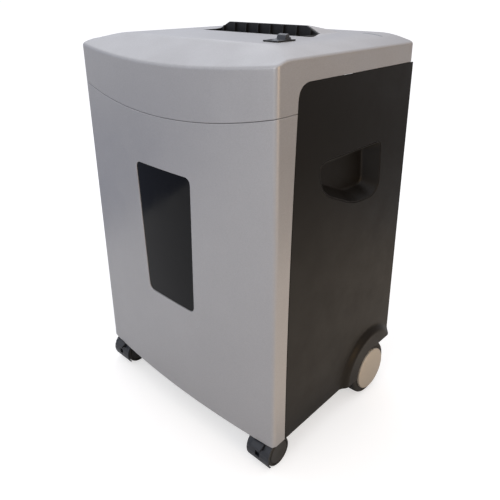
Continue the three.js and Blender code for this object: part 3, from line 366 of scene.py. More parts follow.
def plate(loops, place, thick, front_r=1.0, back_r=0.3, guard=1.5, step=6.0, fill=(), room=3.0, turns=4):
    """A closed plate with rounded edges. loops[0] is its outline and the others its holes, in flat
    coordinates, and place(points, depth) takes them to the form; depth 0 is the outer face. The fill
    points that keep room to the edges shape both faces."""
    loops = [turned_ccw(dense(loop, step), i == 0) for i, loop in enumerate(loops)]
    quarter = np.linspace(0, math.pi / 2, turns + 1)
    levels = [(front_r + guard, 0.0)]
    levels += [(front_r - front_r * math.sin(a), front_r - front_r * math.cos(a)) for a in quarter]
    levels += [(back_r - back_r * math.cos(a), thick - back_r + back_r * math.sin(a)) for a in quarter[::2]]
    points, faces, count = [], [], sum(len(loop) for loop in loops)
    for inset, depth in levels:
        ring = np.concatenate([moved_in(loop, inset) for loop in loops])
        points.append(place(ring, depth))
    for level in range(len(levels) - 1):
        start = level * count
        for loop in loops:
            n = len(loop)
            for i in range(n):
                a, b = start + i, start + (i + 1) % n
                faces.append((a, b, b + count, a + count))
            start += n
    for level, depth in ((0, 0.0), (len(levels) - 1, thick)):
        rings = [moved_in(loop, levels[level][0]) for loop in loops]
        middle = clear_of(fill, rings, room)
        start = sum(len(p) for p in points)
        base = level * count
        for face in triangles(rings, middle):
            faces.append([base + v if v < count else start + v - count for v in face])
        if len(middle):
            points.append(place(middle, depth))
    return np.concatenate(points), faces


def tube_of(rings, closed=False):
    """Quads through rings of equal point count; open ends get a cap."""
    n = len(rings[0])
    points = np.concatenate([np.asarray(r, float) for r in rings])
    faces = []
    last = len(rings) if closed else len(rings) - 1
    for k in range(last):
        a0, b0 = k * n, ((k + 1) % len(rings)) * n
        faces += [(a0 + i, a0 + (i + 1) % n, b0 + (i + 1) % n, b0 + i) for i in range(n)]
    if not closed:
        faces.append(tuple(range(n)))
        faces.append(tuple(range((len(rings) - 1) * n, len(rings) * n)))
    return points, faces


def lathe(profile, centre, side, turns):
    """A closed profile of (radius, x outwards) turned about a line along X through centre (y, z)."""
    angles = [2 * math.pi * k / turns for k in range(turns)]
    rings = [[(side * x, centre[0] + r * math.cos(a), centre[1] + r * math.sin(a)) for r, x in profile]
             for a in angles]
    return tube_of(rings, closed=True)


def together(*solids):
    """Several closed meshes as one piece."""
    points, faces, start = [], [], 0
    for some_points, some_faces in solids:
        points.append(np.asarray(some_points, float))
        faces += [[v + start for v in face] for face in some_faces]
        start += len(some_points)
    return np.concatenate(points), faces


def smooth_min(a, b, k):
    """The lower of two heights, blended over k where they are close."""
    h = np.clip(k - np.abs(a - b), 0, None) / k
    return np.minimum(a, b) - h * h * k / 4


def ease(t):
    """0 below 0 and 1 above 1, with a smooth step between."""
    t = np.clip(t, 0, 1)
    return t * t * (3 - 2 * t)


# ---------- the body's outline ----------
FRONT_END = SIDE_X - CORNER_R
SIDE_START = FRONT_END + CORNER_RUN
SIDE_START_Y = FRONT_CORNER_Y + CORNER_R
SIDE_END = SIDE_START + (REAR_Y - REAR_CORNER_R) - SIDE_START_Y
REAR_START = SIDE_END + REAR_RUN
HALF_ROUND = REAR_START + SIDE_X - REAR_CORNER_R


def bulge(z):
    """How far the front bows out at height z."""
    return BULGE_BOTTOM + (BULGE_TOP - BULGE_BOTTOM) * (z - BOTTOM) / (TOP - BOTTOM)


def along(y):
    """How far round the outline a point of the side wall is."""
    return SIDE_START + y - SIDE_START_Y


def outline(u, z):
    """Point and outward direction of the body's outline at height z, u mm round from the front's middle."""
    u = np.asarray(u, float)
    z = np.broadcast_to(np.asarray(z, float), u.shape)
    sign, far = np.where(u < 0, -1.0, 1.0), np.abs(u)
    bow = bulge(z)
    x = np.minimum(far, FRONT_END)
    y = FRONT_CORNER_Y - bow * (1 - (x / SIDE_X) ** 2)
    slope = 2 * bow * x / SIDE_X ** 2
    nx, ny = slope.copy(), -np.ones_like(slope)
    t = np.clip((far - FRONT_END) / CORNER_RUN, 0, 1)
    corner = far > FRONT_END
    y_mid = y + slope * CORNER_R
    x = np.where(corner, (1 - t) ** 2 * FRONT_END + (2 * t * (1 - t) + t * t) * SIDE_X, x)
    y = np.where(corner, (1 - t) ** 2 * y + 2 * t * (1 - t) * y_mid + t * t * SIDE_START_Y, y)
    tx, ty = 2 * (1 - t) * CORNER_R, 2 * (1 - t) * slope * CORNER_R + 2 * t * (SIDE_START_Y - y_mid)
    nx, ny = np.where(corner, ty, nx), np.where(corner, -tx, ny)
    side = far > SIDE_START
    y = np.where(side, SIDE_START_Y + far - SIDE_START, y)
    turn = np.clip((far - SIDE_END) / REAR_RUN, 0, 1) * math.pi / 2
    rear = far > SIDE_END
    x = np.where(rear, SIDE_X - REAR_CORNER_R + REAR_CORNER_R * np.cos(turn), x)
    y = np.where(rear, REAR_Y - REAR_CORNER_R + REAR_CORNER_R * np.sin(turn), y)
    nx, ny = np.where(rear, np.cos(turn), nx), np.where(rear, np.sin(turn), ny)
    x = np.where(far > REAR_START, SIDE_X - REAR_CORNER_R - (far - REAR_START), x)
    length = np.hypot(nx, ny)
    return sign * x, y, sign * nx / length, ny / length


def seam_z(x):
    """Height of the seam between the head and the bin front, which dips in the middle."""
    return SEAM_AT_CORNER - SEAM_DIP * (1 - (np.minimum(np.abs(x), SIDE_X) / SIDE_X) ** 2)


def panel_front_y(z):
    """The front edge of the black side panel, which leans and bows a little."""
    k = (z - BOTTOM) / (PANEL_TOP - PANEL_CORNER_R - BOTTOM)
    lean = (PANEL_FRONT_HIGH_Y - PANEL_FRONT_LOW_Y) * k
    return PANEL_FRONT_LOW_Y + lean - 4 * PANEL_FRONT_BOW * k * (1 - k)


def panel_corner(offset=0.0, segments=12):
    """The rounded upper front corner of the side panel, in (y, z), from its front edge to its top."""
    y0, z0 = PANEL_FRONT_HIGH_Y + offset, PANEL_TOP - offset
    points = []
    for t in np.linspace(0, 1, segments + 1):
        w = (1 - t) ** 2
        points.append((w * y0 + 2 * t * (1 - t) * y0 + t * t * (y0 + PANEL_CORNER_R),
                       w * (z0 - PANEL_CORNER_R) + 2 * t * (1 - t) * z0 + t * t * z0))
    return points


def stations(low, high, step):
    """Evenly spaced values from low to high, no further apart than step."""
    return np.linspace(low, high, max(2, math.ceil((high - low) / step) + 1))


CORNER_STATIONS = stations(FRONT_END, SIDE_START, 0.8)


# ---------- cutter head ----------
FRONT_BEVEL_SOFT = 2.4
SIDE_BEVEL_SOFT = 5.5
HUMP_SOFT = 1.6
THROAT_DIP = 2.6
THROAT_DIP_RUN = 26
THROAT_DIP_EDGE = 14


def head_height(x, y):
    """The top of the cutter head: flat, with bevelled sides and front, and the lip behind the throat."""
    across = np.abs(x)
    side = CREASE_Z + (SIDE_X - across) * (TOP - CREASE_Z) / (SIDE_X - CREASE_IN_X)
    arch = 1 - (np.minimum(across, SIDE_X) / SIDE_X) ** 2
    low = BEVEL_LOW_CORNER - BEVEL_LOW_DIP * arch
    lip = FRONT_CORNER_Y - bulge(low) * arch
    front = TOP - (TOP - low) * (BEVEL_BACK_Y - y) / (BEVEL_BACK_Y - lip)
    height = smooth_min(smooth_min(TOP, side, SIDE_BEVEL_SOFT), front, FRONT_BEVEL_SOFT)
    ends = (THROAT_HALF + HUMP_END_ROOM - across) * HUMP_RISE / HUMP_END_RUN
    rear = (THROAT_REAR_Y + HUMP_FLAT + HUMP_REAR_RUN - y) * HUMP_RISE / HUMP_REAR_RUN
    rise = smooth_min(smooth_min(HUMP_RISE, ends, HUMP_SOFT), rear, HUMP_SOFT)
    rise = -smooth_min(-rise, 0.0, HUMP_SOFT) * ease((y - THROAT_FRONT_Y - HUMP_START) / HUMP_START_RUN)
    dip = THROAT_DIP * ease((THROAT_HALF + THROAT_DIP_RUN - across) / THROAT_DIP_RUN)
    dip = dip * ease((y - THROAT_FRONT_Y) / THROAT_DIP_EDGE) * ease((THROAT_REAR_Y - y) / THROAT_DIP_EDGE)
    return height + rise - dip


HEAD_REF_Z = 618
AROUND = np.concatenate([-np.arange(0.25, HALF_ROUND, 0.5)[::-1], np.arange(0.25, HALF_ROUND, 0.5)])
REF_X, REF_Y, REF_NX, REF_NY = outline(AROUND, HEAD_REF_Z)
REF_BEND = np.hypot(np.gradient(REF_NX, AROUND), np.gradient(REF_NY, AROUND))
REF_TREE = KDTree(len(AROUND))
for number, (ref_x, ref_y) in enumerate(zip(REF_X, REF_Y)):
    REF_TREE.insert((ref_x, ref_y, 0), number)
REF_TREE.balance()


def place_head(points, depth):
    """Inside the outline a point lies on the top, and outside it that far down the wall."""
    near = np.array([REF_TREE.find((*p, 0))[1] for p in points])
    qx, qy, nx, ny = REF_X[near], REF_Y[near], REF_NX[near], REF_NY[near]
    dx, dy = points[:, 0] - qx, points[:, 1] - qy
    out = dx * nx + dy * ny
    u = AROUND[near] + (dx * -ny + dy * nx) / (1 + REF_BEND[near] * np.maximum(out, 0))
    within = np.clip(EDGE_R + out, 0, EDGE_R)
    level = np.sqrt(EDGE_R ** 2 - within ** 2)
    top_z = head_height(points[:, 0], points[:, 1]) - (EDGE_R - level)
    wall_z = head_height(qx, qy) - EDGE_R - out
    wx, wy, wnx, wny = outline(u, wall_z)
    on_wall = out > 0
    x, y = np.where(on_wall, wx, points[:, 0]), np.where(on_wall, wy, points[:, 1])
    z = np.where(on_wall, wall_z, top_z)
    nx = np.where(on_wall, wnx, nx * within / EDGE_R)
    ny = np.where(on_wall, wny, ny * within / EDGE_R)
    nz = np.where(on_wall, 0.0, level / EDGE_R)
    return np.stack([x - depth * nx, y - depth * ny, z - depth * nz], axis=1)


def unrolled(u, z):
    """Where a wall point is in the flat coordinates of place_head."""
    x, y, nx, ny = outline(u, HEAD_REF_Z)
    out = head_height(x, y) - EDGE_R - z
    return x + nx * out, y + ny * out


def head_lower_edge():
    """The right half of the head's lower edge as (u, z), from the front's middle to the rear's."""
    front = [(u, seam_z(u)) for u in stations(0, FRONT_END, 6)[:-1]]
    corner = [(u, seam_z(outline(u, SEAM_AT_CORNER)[0])) for u in CORNER_STATIONS]
    step_y = panel_front_y(SEAM_AT_CORNER)
    side = [(u, SEAM_AT_CORNER) for u in stations(SIDE_START + 2, along(step_y), 6)]
    panel = [(along(y), z) for y, z in panel_corner()]
    rest = [(u, PANEL_TOP) for u in stations(panel[-1][0] + 6, SIDE_END, 8)]
    rear_corner = [(u, PANEL_TOP) for u in stations(SIDE_END, REAR_START, 2)[1:]]
    rear = [(u, PANEL_TOP) for u in stations(REAR_START + 6, HALF_ROUND, 8)]
    return front + corner + side + panel + rest + rear_corner + rear


def round_stations():
    """Stations all round the outline, closer together in its corners."""
    right = np.concatenate([stations(0, FRONT_END, 8)[:-1], CORNER_STATIONS,
                            stations(SIDE_START + 4, SIDE_END, 8), stations(SIDE_END, REAR_START, 2)[1:],
                            stations(REAR_START + 5, HALF_ROUND, 8)])
    return np.concatenate([-right[1:][::-1], right])


SWITCH_X = (BEZEL_LOW.x + BEZEL_HIGH.x) / 2
SWITCH_Y = (BEZEL_LOW.y + BEZEL_HIGH.y) / 2
SWITCH_HALF_X = 11.5
SWITCH_HALF_Y = 16
LENS_ROOM = 0.15


def top_cover():
    """The cover's top and walls in one shell, with holes for the throat, the switch and the lens."""
    edge = head_lower_edge()
    rim = [unrolled(u, z) for u, z in edge] + [unrolled(-u, z) for u, z in edge[-2:0:-1]]
    rim = [(float(x), float(y)) for x, y in rim]
    throat = rectangle(-THROAT_HALF, THROAT_HALF, THROAT_FRONT_Y, THROAT_HIGH.y + THROAT_ROOM, 2)
    switch = rectangle(SWITCH_X - SWITCH_HALF_X, SWITCH_X + SWITCH_HALF_X,
                       SWITCH_Y - SWITCH_HALF_Y, SWITCH_Y + SWITCH_HALF_Y, 1)
    lens = rectangle(LENS_LOW.x - LENS_ROOM, LENS_HIGH.x + LENS_ROOM,
                     LENS_LOW.y - LENS_ROOM, LENS_HIGH.y + LENS_ROOM, 2.1)
    columns = list(stations(-208, 208, 7)) + [side * x for side in (-1, 1) for x in stations(84, 116, 2)]
    rows = [*stations(-172, 168, 7), *stations(-110, -97, 2), *stations(66, 72, 1.5)]
    grid = np.array([(x, y) for x in sorted(columns) for y in sorted(rows)])
    grid = grid[inside(grid, [np.stack([REF_X, REF_Y], axis=1)])]
    inner = [p for p in grid if REF_TREE.find((*p, 0))[2] > EDGE_R + 3]
    x, y, nx, ny = outline(round_stations(), HEAD_REF_Z)
    rings = [-EDGE_R - 2.2, -EDGE_R]
    rings += [-EDGE_R * (1 - math.cos(a)) for a in np.linspace(math.pi / 2, 0, 6)[1:]]
    rings += list(np.arange(3, 110, 7))
    wall = [(px, py) for out in rings for px, py in zip(x + nx * out, y + ny * out)]
    return plate([rim, throat, switch, lens], place_head, SHELL, front_r=0.8, guard=1.0, step=6,
                 fill=inner + wall, room=3.0, turns=3)


piece("cutter_head_cover", *top_cover(), SILVER, "housing", "silver_paint", ["top_cover"])


LENS_PROUD = 0.12
LENS_THICK = 1.2


def indicator_lens():
    """A thin strip that follows the cover over the start of its side bevel."""
    edge = rounded([(LENS_LOW.x, LENS_LOW.y, 2), (LENS_HIGH.x, LENS_LOW.y, 2),
                    (LENS_HIGH.x, LENS_HIGH.y, 2), (LENS_LOW.x, LENS_HIGH.y, 2)])
    fill = [(x, y) for x in stations(LENS_LOW.x, LENS_HIGH.x, 1.5)
            for y in stations(LENS_LOW.y, LENS_HIGH.y, 1.5)]
    return plate([edge], lambda p, d: place_head(p, d - LENS_PROUD), LENS_THICK, front_r=0.3, guard=0.6,
                 step=2, fill=fill, room=0.5)


piece("indicator_lens_strip", *indicator_lens(), LENS, "housing", "indicator", ["indicator_lens"])


# ---------- pull-out bin front and its window ----------
def place_front(points, depth):
    """Flat coordinates of the front are (u, z): u round the outline and z up."""
    u, z = points[:, 0], points[:, 1]
    x, y, nx, ny = outline(u, z)
    return np.stack([x - depth * nx, y - depth * ny, z], axis=1)


WINDOW_BOTTOM = BOTTOM + 178
WINDOW_TOP = BOTTOM + 406
WINDOW_HALF_LOW = 57
WINDOW_HALF_HIGH = 65
WINDOW_CORNER_R = 12
WINDOW_SET_IN = 1.3
PANE_ROOM = 0.35
PANE_THICK = 2.0
FLANGE_SET_IN = 3.35
FLANGE_THICK = 1.5
FLANGE_WIDER = 8


def window_outline(grow):
    r = WINDOW_CORNER_R + grow
    low, high = WINDOW_BOTTOM - grow, WINDOW_TOP + grow
    half_low, half_high = WINDOW_HALF_LOW + grow, WINDOW_HALF_HIGH + grow
    return rounded([(-half_low, low, r), (half_low, low, r), (half_high, high, r), (-half_high, high, r)])


def bin_front():
    """The front wraps round both corners to the side panels, under the curved seam."""
    heights = stations(BOTTOM, SEAM_AT_CORNER - GAP, 8)
    right = [(along(panel_front_y(z)), z) for z in heights]
    top = [(u, seam_z(outline(u, SEAM_AT_CORNER)[0]) - GAP) for u in CORNER_STATIONS[::-1]]
    top += [(u, seam_z(u) - GAP) for u in stations(-FRONT_END, FRONT_END, 6)[::-1][1:-1]]
    top += [(-u, z) for u, z in top[:len(CORNER_STATIONS)][::-1]]
    left = [(-u, z) for u, z in right[::-1]]
    rim = [(float(u), float(z)) for u, z in right + top + left]
    u = np.concatenate([stations(-FRONT_END, FRONT_END, 8), CORNER_STATIONS[1:], -CORNER_STATIONS[1:],
                        [s * (SIDE_START + k) for s in (-1, 1) for k in (5, 11, 17, 23)]])
    fill = [(a, b) for a in u for b in stations(BOTTOM + 4, SEAM_AT_CORNER - 4, 9)]
    return plate([rim, window_outline(0)], place_front, SHELL, front_r=0.9, guard=1.6, step=7,
                 fill=fill, room=1.5)


piece("bin_front_shell", *bin_front(), SILVER, "bin", "silver_paint", ["bin_front"])


def bin_window():
    """A pane in the opening, with a wider flange behind it."""
    fill = [(u, z) for u in stations(-70, 70, 6) for z in stations(WINDOW_BOTTOM, WINDOW_TOP, 8)]
    pane = plate([window_outline(-PANE_ROOM)], lambda p, d: place_front(p, d + WINDOW_SET_IN), PANE_THICK,
                 front_r=0.9, step=5, fill=fill, room=2)
    flange = plate([window_outline(FLANGE_WIDER)], lambda p, d: place_front(p, d + FLANGE_SET_IN),
                   FLANGE_THICK, front_r=0.4, fill=fill, room=2)
    return together(pane, flange)


piece("bin_window_pane", *bin_window(), GLASS, "bin", "smoked_window", ["bin_window"])


# ---------- black side panels, with wheel fenders and finger cups ----------
GRIP = [(FRONT_CORNER_Y + 84, BOTTOM + 438, 26), (FRONT_CORNER_Y + 248, BOTTOM + 438, 13),
        (FRONT_CORNER_Y + 255, BOTTOM + 347, 34), (FRONT_CORNER_Y + 180, BOTTOM + 350, 24),
        (FRONT_CORNER_Y + 98, BOTTOM + 388, 24)]
GRIP_ROOM = 0.4


def grip_outline(inset, segments=9):
    """The finger recess in (y, z), with every side moved in."""
    corners = []
    for i, (y, z, radius) in enumerate(GRIP):
        here = np.array((y, z), float)
        ways = [np.array(GRIP[k][:2], float) - here for k in (i - 1, (i + 1) % len(GRIP))]
        ways = [way / np.linalg.norm(way) for way in ways]
        half = math.acos(float(np.clip(ways[0] @ ways[1], -1, 1))) / 2
        both = ways[0] + ways[1]
        here = here + both / np.linalg.norm(both) * inset / math.sin(half)
        corners.append((here[0], here[1], max(radius - inset, 5)))
    return rounded(corners, segments)


def fender(y, z):
    """How far the panel stands out over the wheel."""
    r = np.hypot(y - WHEEL_Y, z - WHEEL_Z)
    return FENDER_RISE * ease((FENDER_OUTER_R - r) / (FENDER_OUTER_R - FENDER_INNER_R))


def side_panel(side):
    """A flat plate in (y, z) with a fender over the wheel and a hole for the finger cup."""
    notch_top = WHEEL_Z + NOTCH_R
    front = [(panel_front_y(z) + GAP, z) for z in stations(BOTTOM, PANEL_TOP - PANEL_CORNER_R, 10)[:-1]]
    notch = [(WHEEL_Y + NOTCH_R * math.cos(a), WHEEL_Z + NOTCH_R * math.sin(a))
             for a in np.linspace(math.pi / 2, math.pi, 25)]
    rim = front + panel_corner(GAP) + [(REAR_Y, PANEL_TOP - GAP), (REAR_Y, notch_top)] + notch
    rim = [(float(y), float(z)) for y, z in rim]

    def place(points, depth):
        y, z = points[:, 0], points[:, 1]
        return np.stack([side * (SIDE_X + fender(y, z) - depth), y, z], axis=1)

    wide = [(y, z) for y in stations(-120, 168, 10) for z in stations(BOTTOM + 5, PANEL_TOP - 6, 10)
            if math.hypot(y - WHEEL_Y, z - WHEEL_Z) > FENDER_OUTER_R + 5]
    arcs = [(WHEEL_Y + r * math.cos(a), WHEEL_Z + r * math.sin(a))
            for r in stations(NOTCH_R + 4, FENDER_OUTER_R + 2, 2.4)
            for a in np.linspace(0.02, math.pi - 0.02, 64)]
    return plate([rim, grip_outline(GRIP_ROOM)], place, SHELL, front_r=0.8, guard=1.4, step=5,
                 fill=wide + arcs, room=1.6)


def grip_cup(side):
    """A tapered tray with a rolled lip that plugs the panel's hole."""
    outer_face = [(15, -28), (14.4, -27.6), (1.4, -3.4), (0.9, -2.6)]
    lip = [(0.9, -0.9), (1.1, -0.5), (1.5, -0.25), (2.1, -0.3), (2.5, -0.6), (2.8, -1.2), (3.1, -2.2)]
    floor_edge = [(13.6, -21.6), (14.4, -23.2), (15.6, -24.5), (17.2, -25.3), (19.2, -25.6)]
    return tube_of([[(side * (SIDE_X + x), y, z) for y, z in grip_outline(inset)]
                    for inset, x in outer_face + lip + floor_edge])


for name, side in (("left", -1), ("right", 1)):
    piece(f"side_panel_{name}_shell", *side_panel(side), BLACK, "housing", "black_panel",
          [f"side_panel_{name}"])
    piece(f"grip_cup_{name}_tray", *grip_cup(side), BLACK, "housing", "black_panel", [f"grip_cup_{name}"])


# ---------- rear panel ----------
VENT_COLUMNS = (-24, 38, 100)
VENT_ROWS = 7
VENT_LOW_Z = 488
VENT_PITCH = 13
VENT_HALF = 24
VENT_HIGH = 5
REAR_IN_X = 184
REAR_CUT_Z = WHEEL_Z + 55
REAR_HALF = SIDE_X - SHELL - 2 * GAP - 0.4
REAR_SET_IN = 0.3
SOCKET_HALF_X = 14
SOCKET_HALF_Z = 10.5


def rear_panel():
    """A flat plate in (x, z), cut in beside the wheels, with vent slots and the socket's opening."""
    high = PANEL_TOP - GAP
    rim = [(-REAR_IN_X, BOTTOM), (REAR_IN_X, BOTTOM), (REAR_IN_X, REAR_CUT_Z), (REAR_HALF, REAR_CUT_Z),
           (REAR_HALF, high), (-REAR_HALF, high), (-REAR_HALF, REAR_CUT_Z), (-REAR_IN_X, REAR_CUT_Z)]
    rim = rounded([(x, z, 2) for x, z in rim], 3)
    vents = []
    for x in VENT_COLUMNS:
        for row in range(VENT_ROWS):
            z = VENT_LOW_Z + VENT_PITCH * row
            vents.append(rectangle(x - VENT_HALF, x + VENT_HALF, z, z + VENT_HIGH, 2.4))
    middle_x, middle_z = (INLET_LOW.x + INLET_HIGH.x) / 2, (INLET_LOW.z + INLET_HIGH.z) / 2
    socket = rectangle(middle_x - SOCKET_HALF_X, middle_x + SOCKET_HALF_X,
                       middle_z - SOCKET_HALF_Z, middle_z + SOCKET_HALF_Z, 1.5)

    def place(points, depth):
        y = np.full(len(points), REAR_Y - REAR_SET_IN - depth)
        return np.stack([points[:, 0], y, points[:, 1]], axis=1)

    fill = [(x, z) for x in stations(-200, 200, 20) for z in stations(BOTTOM + 10, PANEL_TOP - 10, 20)]
    return plate([rim, socket, *vents], place, SHELL, front_r=0.7, guard=0.8, step=12,
                 fill=fill, room=5, turns=3)


piece("rear_panel_shell", *rear_panel(), BLACK, "housing", "black_panel", ["rear_panel"])


# ---------- rear wheels ----------
TYRE_BORE_R = 37.4

for name, side in (("left", -1), ("right", 1)):
    near, far = TYRE_LOW.x, TYRE_HIGH.x
    tyre = [(TYRE_BORE_R, near, 0.6), (WHEEL_R - 1, near, 5), (WHEEL_R, (near + far) / 2, 8),
            (WHEEL_R - 1, far, 5), (TYRE_BORE_R, far, 0.6)]
    piece(f"rear_tyre_{name}_ring", *lathe(rounded(tyre, 6), (WHEEL_Y, WHEEL_Z), side, 128), TYRE,
          f"rear_wheel_{name}", "tyre", [f"rear_tyre_{name}"])
    cap = [(AXIS_R, far + 0.4, 0), (HUB_R, far + 0.4, 0.4), (HUB_R, CAP_HIGH.x - 0.9, 2.0),
           (HUB_R - 9, CAP_HIGH.x - 0.1, 6), (AXIS_R, CAP_HIGH.x - 0.3, 0)]
    piece(f"hub_cap_{name}_disc", *lathe(rounded(cap, 5), (WHEEL_Y, WHEEL_Z), side, 128), HUB,
          f"rear_wheel_{name}", "hub_silver", [f"hub_cap_{name}"])


# ---------- casters ----------
for name, side in (("left", -1), ("right", 1)):
    for place in ("outer", "inner"):
        node = f"caster_wheel_{name}_{place}"
        low, high = box_mm(node)
        out = side if place == "outer" else -side
        near, far = (low.x, high.x) if out > 0 else (-high.x, -low.x)
        radius = (high.z - low.z) / 2
        centre = ((low.y + high.y) / 2, (low.z + high.z) / 2)
        disc = [(AXIS_R, near + 3, 0), (AXIS_R, far - 0.8, 0), (17.4, far, 0.6), (18.6, far - 0.3, 0.5)]
        groove = [(18.9, far - 2.6, 0.3), (20.4, far - 2.6, 0.3), (20.7, far - 0.2, 0.5)]
        tread = [(radius - 0.1, far - 0.6, 2.4), (radius, near + 1, 1.5), (radius - 1, near, 0.6)]
        bore = [(4.2, near, 0.3), (4.2, near + 3, 0)]
        wheel = rounded(disc + groove + tread + bore, 4)
        piece(f"{node}_disc", *lathe(wheel, centre, out, 96), DISC,
              f"caster_{name}_{place}_wheel", "caster_plastic", [node])


# ---------- CAD nodes that stay, with their finishes ----------
NODE_FINISH = {
    "throat_guide": DARK, "switch_bezel": DARK, "power_switch": GREY, "power_inlet": DARK,
    "base_pan": BLACK, "rear_axle": STEEL, "wheel_core_left": BLACK, "wheel_core_right": BLACK,
    "bin_box": DARK, "bin_rail_left": GREY, "bin_rail_right": GREY, "cutter_deck": ZINC,
    "motor_body": ZINC, "motor_rotor": STEEL, "circuit_board": BOARD, "interlock_switch": DARK,
    "interlock_plunger": GREY, "paper_sensor": DARK,
}
NODE_GROUPS = {
    "caster_stem": STEEL, "caster_axle": STEEL, "caster_hood": CASTER, "caster_wheel": DISC,
    "brake_pedal": CASTER, "cutter_plate": ZINC, "tie_rod": STEEL, "cutter_shaft": STEEL,
    "sync_gear": STEEL, "drive_gear": STEEL, "stripper_comb": ZINC,
}


def finish_of(node):
    """A node's own finish, or that of the group its name starts with."""
    if node in NODE_FINISH:
        return NODE_FINISH[node]
    return next((look for start, look in NODE_GROUPS.items() if node.startswith(start)), DARK)


EDGED = {"throat_guide": 0.5, "switch_bezel": 0.5, "power_switch": 0.6, "power_inlet": 0.4, "base_pan": 0.5,
         "caster_hood_left": 0.7, "caster_hood_right": 0.7, "brake_pedal_left": 0.7, "brake_pedal_right": 0.7}

for node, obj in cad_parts.items():
    look = finish_of(node)
    if node in EDGED:
        bevel = obj.modifiers.new("edges", "BEVEL")
        bevel.width = EDGED[node] * MM
        bevel.segments = 3
        bevel.limit_method = "ANGLE"
        bevel.angle_limit = math.radians(35)
        obj.modifiers.new("normals", "WEIGHTED_NORMAL").keep_sharp = True
    if not obj.material_slots:
        obj.data.materials.append(look)
    for slot in obj.material_slots:
        slot.material = look


# ---------- camera, light and floor ----------
CAMERA_AT = Vector((0.6158, -0.6199, 0.7064))
YAW = 0.7474
PITCH = 0.3625
ROLL = -0.0016
LENS_MM = 38.01
SHIFT = (-0.0178, -0.12)


def make_camera():
    data = bpy.data.cameras.new("camera")
    data.lens = LENS_MM
    data.shift_x, data.shift_y = SHIFT
    camera = new_object("camera", data)
    turn = Matrix.Rotation(YAW, 4, "Z") @ Matrix.Rotation(math.pi / 2 - PITCH, 4, "X")
    camera.matrix_world = Matrix.Translation(CAMERA_AT) @ turn @ Matrix.Rotation(ROLL, 4, "Z")
    bpy.context.scene.camera = camera


def area_light(name, at, target, size, power, colour):
    """A rectangular light at a place in metres, facing the target."""
    data = bpy.data.lights.new(name, "AREA")
    data.shape = "RECTANGLE"
    data.size, data.size_y = size
    data.energy = power
    data.color = colour
    light = new_object(name, data)
    light.location = at
    light.rotation_euler = (Vector(target) - Vector(at)).to_track_quat("-Z", "Y").to_euler()


def studio_sheet(name, corners, colour, glow):
    """A flat sheet of the studio, with its material."""
    mesh = bpy.data.meshes.new(name)
    mesh.from_pydata([tuple(corner) for corner in corners], [], [(0, 1, 2, 3)])
    material = bpy.data.materials.new(name)
    material.use_nodes = True
    shader = material.node_tree.nodes["Principled BSDF"]
    shader.inputs["Base Color"].default_value = (*colour, 1)
    shader.inputs["Emission Color"].default_value = (*glow, 1)
    mesh.materials.append(material)
    return new_object(name, mesh), material.node_tree, shader


CORNERS = ((-1, -1), (1, -1), (1, 1), (-1, 1))


def reflected_card(name, middle, half_across, half_up, colour):
    """A card of the studio that only shows in reflections."""
    corners = [Vector(middle) + Vector(half_across) * u + Vector(half_up) * v for u, v in CORNERS]
    card, _, shader = studio_sheet(name, corners, (0, 0, 0), colour)
    shader.inputs["Emission Strength"].default_value = 1.0
    card.visible_camera = False
    card.visible_diffuse = False
    card.visible_shadow = False
    card.visible_transmission = False


FLOOR_REACH = 80
FLOOR_COLOUR = (0.62, 0.62, 0.62)
FLOOR_LIFT = 0.56


def make_floor():
    """A wide pale floor, a little brighter to the camera than the light it sends back."""
    corners = [(FLOOR_REACH * u, FLOOR_REACH * v, 0) for u, v in CORNERS]
    floor, tree, shader = studio_sheet("floor", corners, FLOOR_COLOUR, (1, 1, 1))
    shader.inputs["Roughness"].default_value = 0.9
    shader.inputs["Specular IOR Level"].default_value = 0.1
    lift = tree.nodes.new("ShaderNodeMath")
    lift.operation = "MULTIPLY"
    lift.inputs[1].default_value = FLOOR_LIFT
    tree.links.new(tree.nodes.new("ShaderNodeLightPath").outputs["Is Camera Ray"], lift.inputs[0])
    tree.links.new(lift.outputs[0], shader.inputs["Emission Strength"])


COOL_SIDE = (0.45, 0.49, 0.60)
WARM_SIDE = (0.20, 0.125, 0.05)
OVERHEAD = (1.0, 1.01, 1.05)


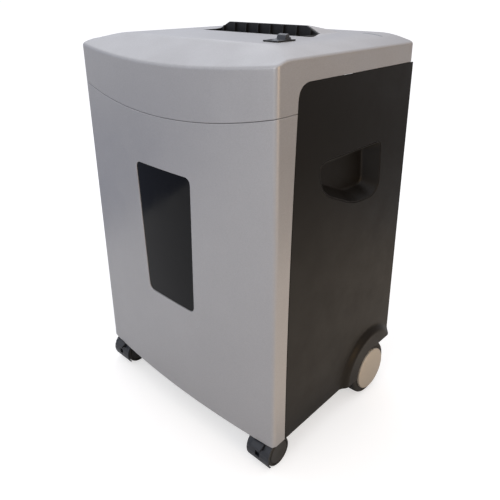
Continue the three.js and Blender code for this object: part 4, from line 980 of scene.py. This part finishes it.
def make_world():
    """A soft studio: bright overhead, cool on the left, dim and warm on the right, white to the camera."""
    world = bpy.data.worlds.new("studio")
    world.use_nodes = True
    tree = world.node_tree
    background = tree.nodes["Background"]
    way = tree.nodes.new("ShaderNodeTexCoord").outputs["Generated"]
    split = tree.nodes.new("ShaderNodeSeparateXYZ")
    tree.links.new(way, split.inputs[0])
    sides = tree.nodes.new("ShaderNodeValToRGB")
    for at, colour in zip((0.0, 1.0), (COOL_SIDE, WARM_SIDE)):
        sides.color_ramp.elements[int(at)].color = (*colour, 1)
    across = tree.nodes.new("ShaderNodeMapRange")
    across.inputs["From Min"].default_value = -0.9
    across.inputs["From Max"].default_value = 0.7
    tree.links.new(split.outputs["X"], across.inputs["Value"])
    tree.links.new(across.outputs["Result"], sides.inputs["Fac"])
    up = tree.nodes.new("ShaderNodeMapRange")
    up.inputs["From Min"].default_value = 0.15
    up.inputs["From Max"].default_value = 0.85
    tree.links.new(split.outputs["Z"], up.inputs["Value"])
    blend = tree.nodes.new("ShaderNodeMix")
    blend.data_type = "RGBA"
    tree.links.new(up.outputs["Result"], blend.inputs[0])
    tree.links.new(sides.outputs["Color"], blend.inputs[6])
    blend.inputs[7].default_value = (*OVERHEAD, 1)
    seen = tree.nodes.new("ShaderNodeMix")
    seen.data_type = "RGBA"
    tree.links.new(tree.nodes.new("ShaderNodeLightPath").outputs["Is Camera Ray"], seen.inputs[0])
    tree.links.new(blend.outputs[2], seen.inputs[6])
    seen.inputs[7].default_value = (1, 1, 1, 1)
    tree.links.new(seen.outputs[2], background.inputs["Color"])
    background.inputs["Strength"].default_value = 1.0
    bpy.context.scene.world = world


MIDDLE = (0.0, 0.0, 0.35)

bpy.context.scene.view_settings.view_transform = "Standard"
make_camera()
make_world()
make_floor()
area_light("left", (-1.75, 0.7, 1.65), MIDDLE, (1.3, 1.1), 2.4, (0.93, 0.96, 1.0))
area_light("back", (-1.1, 1.5, 1.9), MIDDLE, (1.4, 1.4), 3.0, (0.97, 0.98, 1.0))
area_light("front", (0.1, -2.4, 1.3), MIDDLE, (1.4, 1.2), 13, (0.95, 0.97, 1.0))
area_light("right", (2.4, -0.3, 1.0), MIDDLE, (1.0, 1.6), 12, (1.0, 0.66, 0.34))
reflected_card("card_left", (-1.75, -1.0, 0.004), (0.95, 0, 0), (0, 1.3, 0), (0.14, 0.155, 0.22))
reflected_card("card_near", (0.52, 0.25, 0.003), (0.25, 0, 0), (0, 0.5, 0), (0.78, 0.67, 0.56))
reflected_card("card_right", (1.75, 1.5, 0.004), (1.0, 0, 0), (0, 1.15, 0), (0.06, 0.044, 0.028))
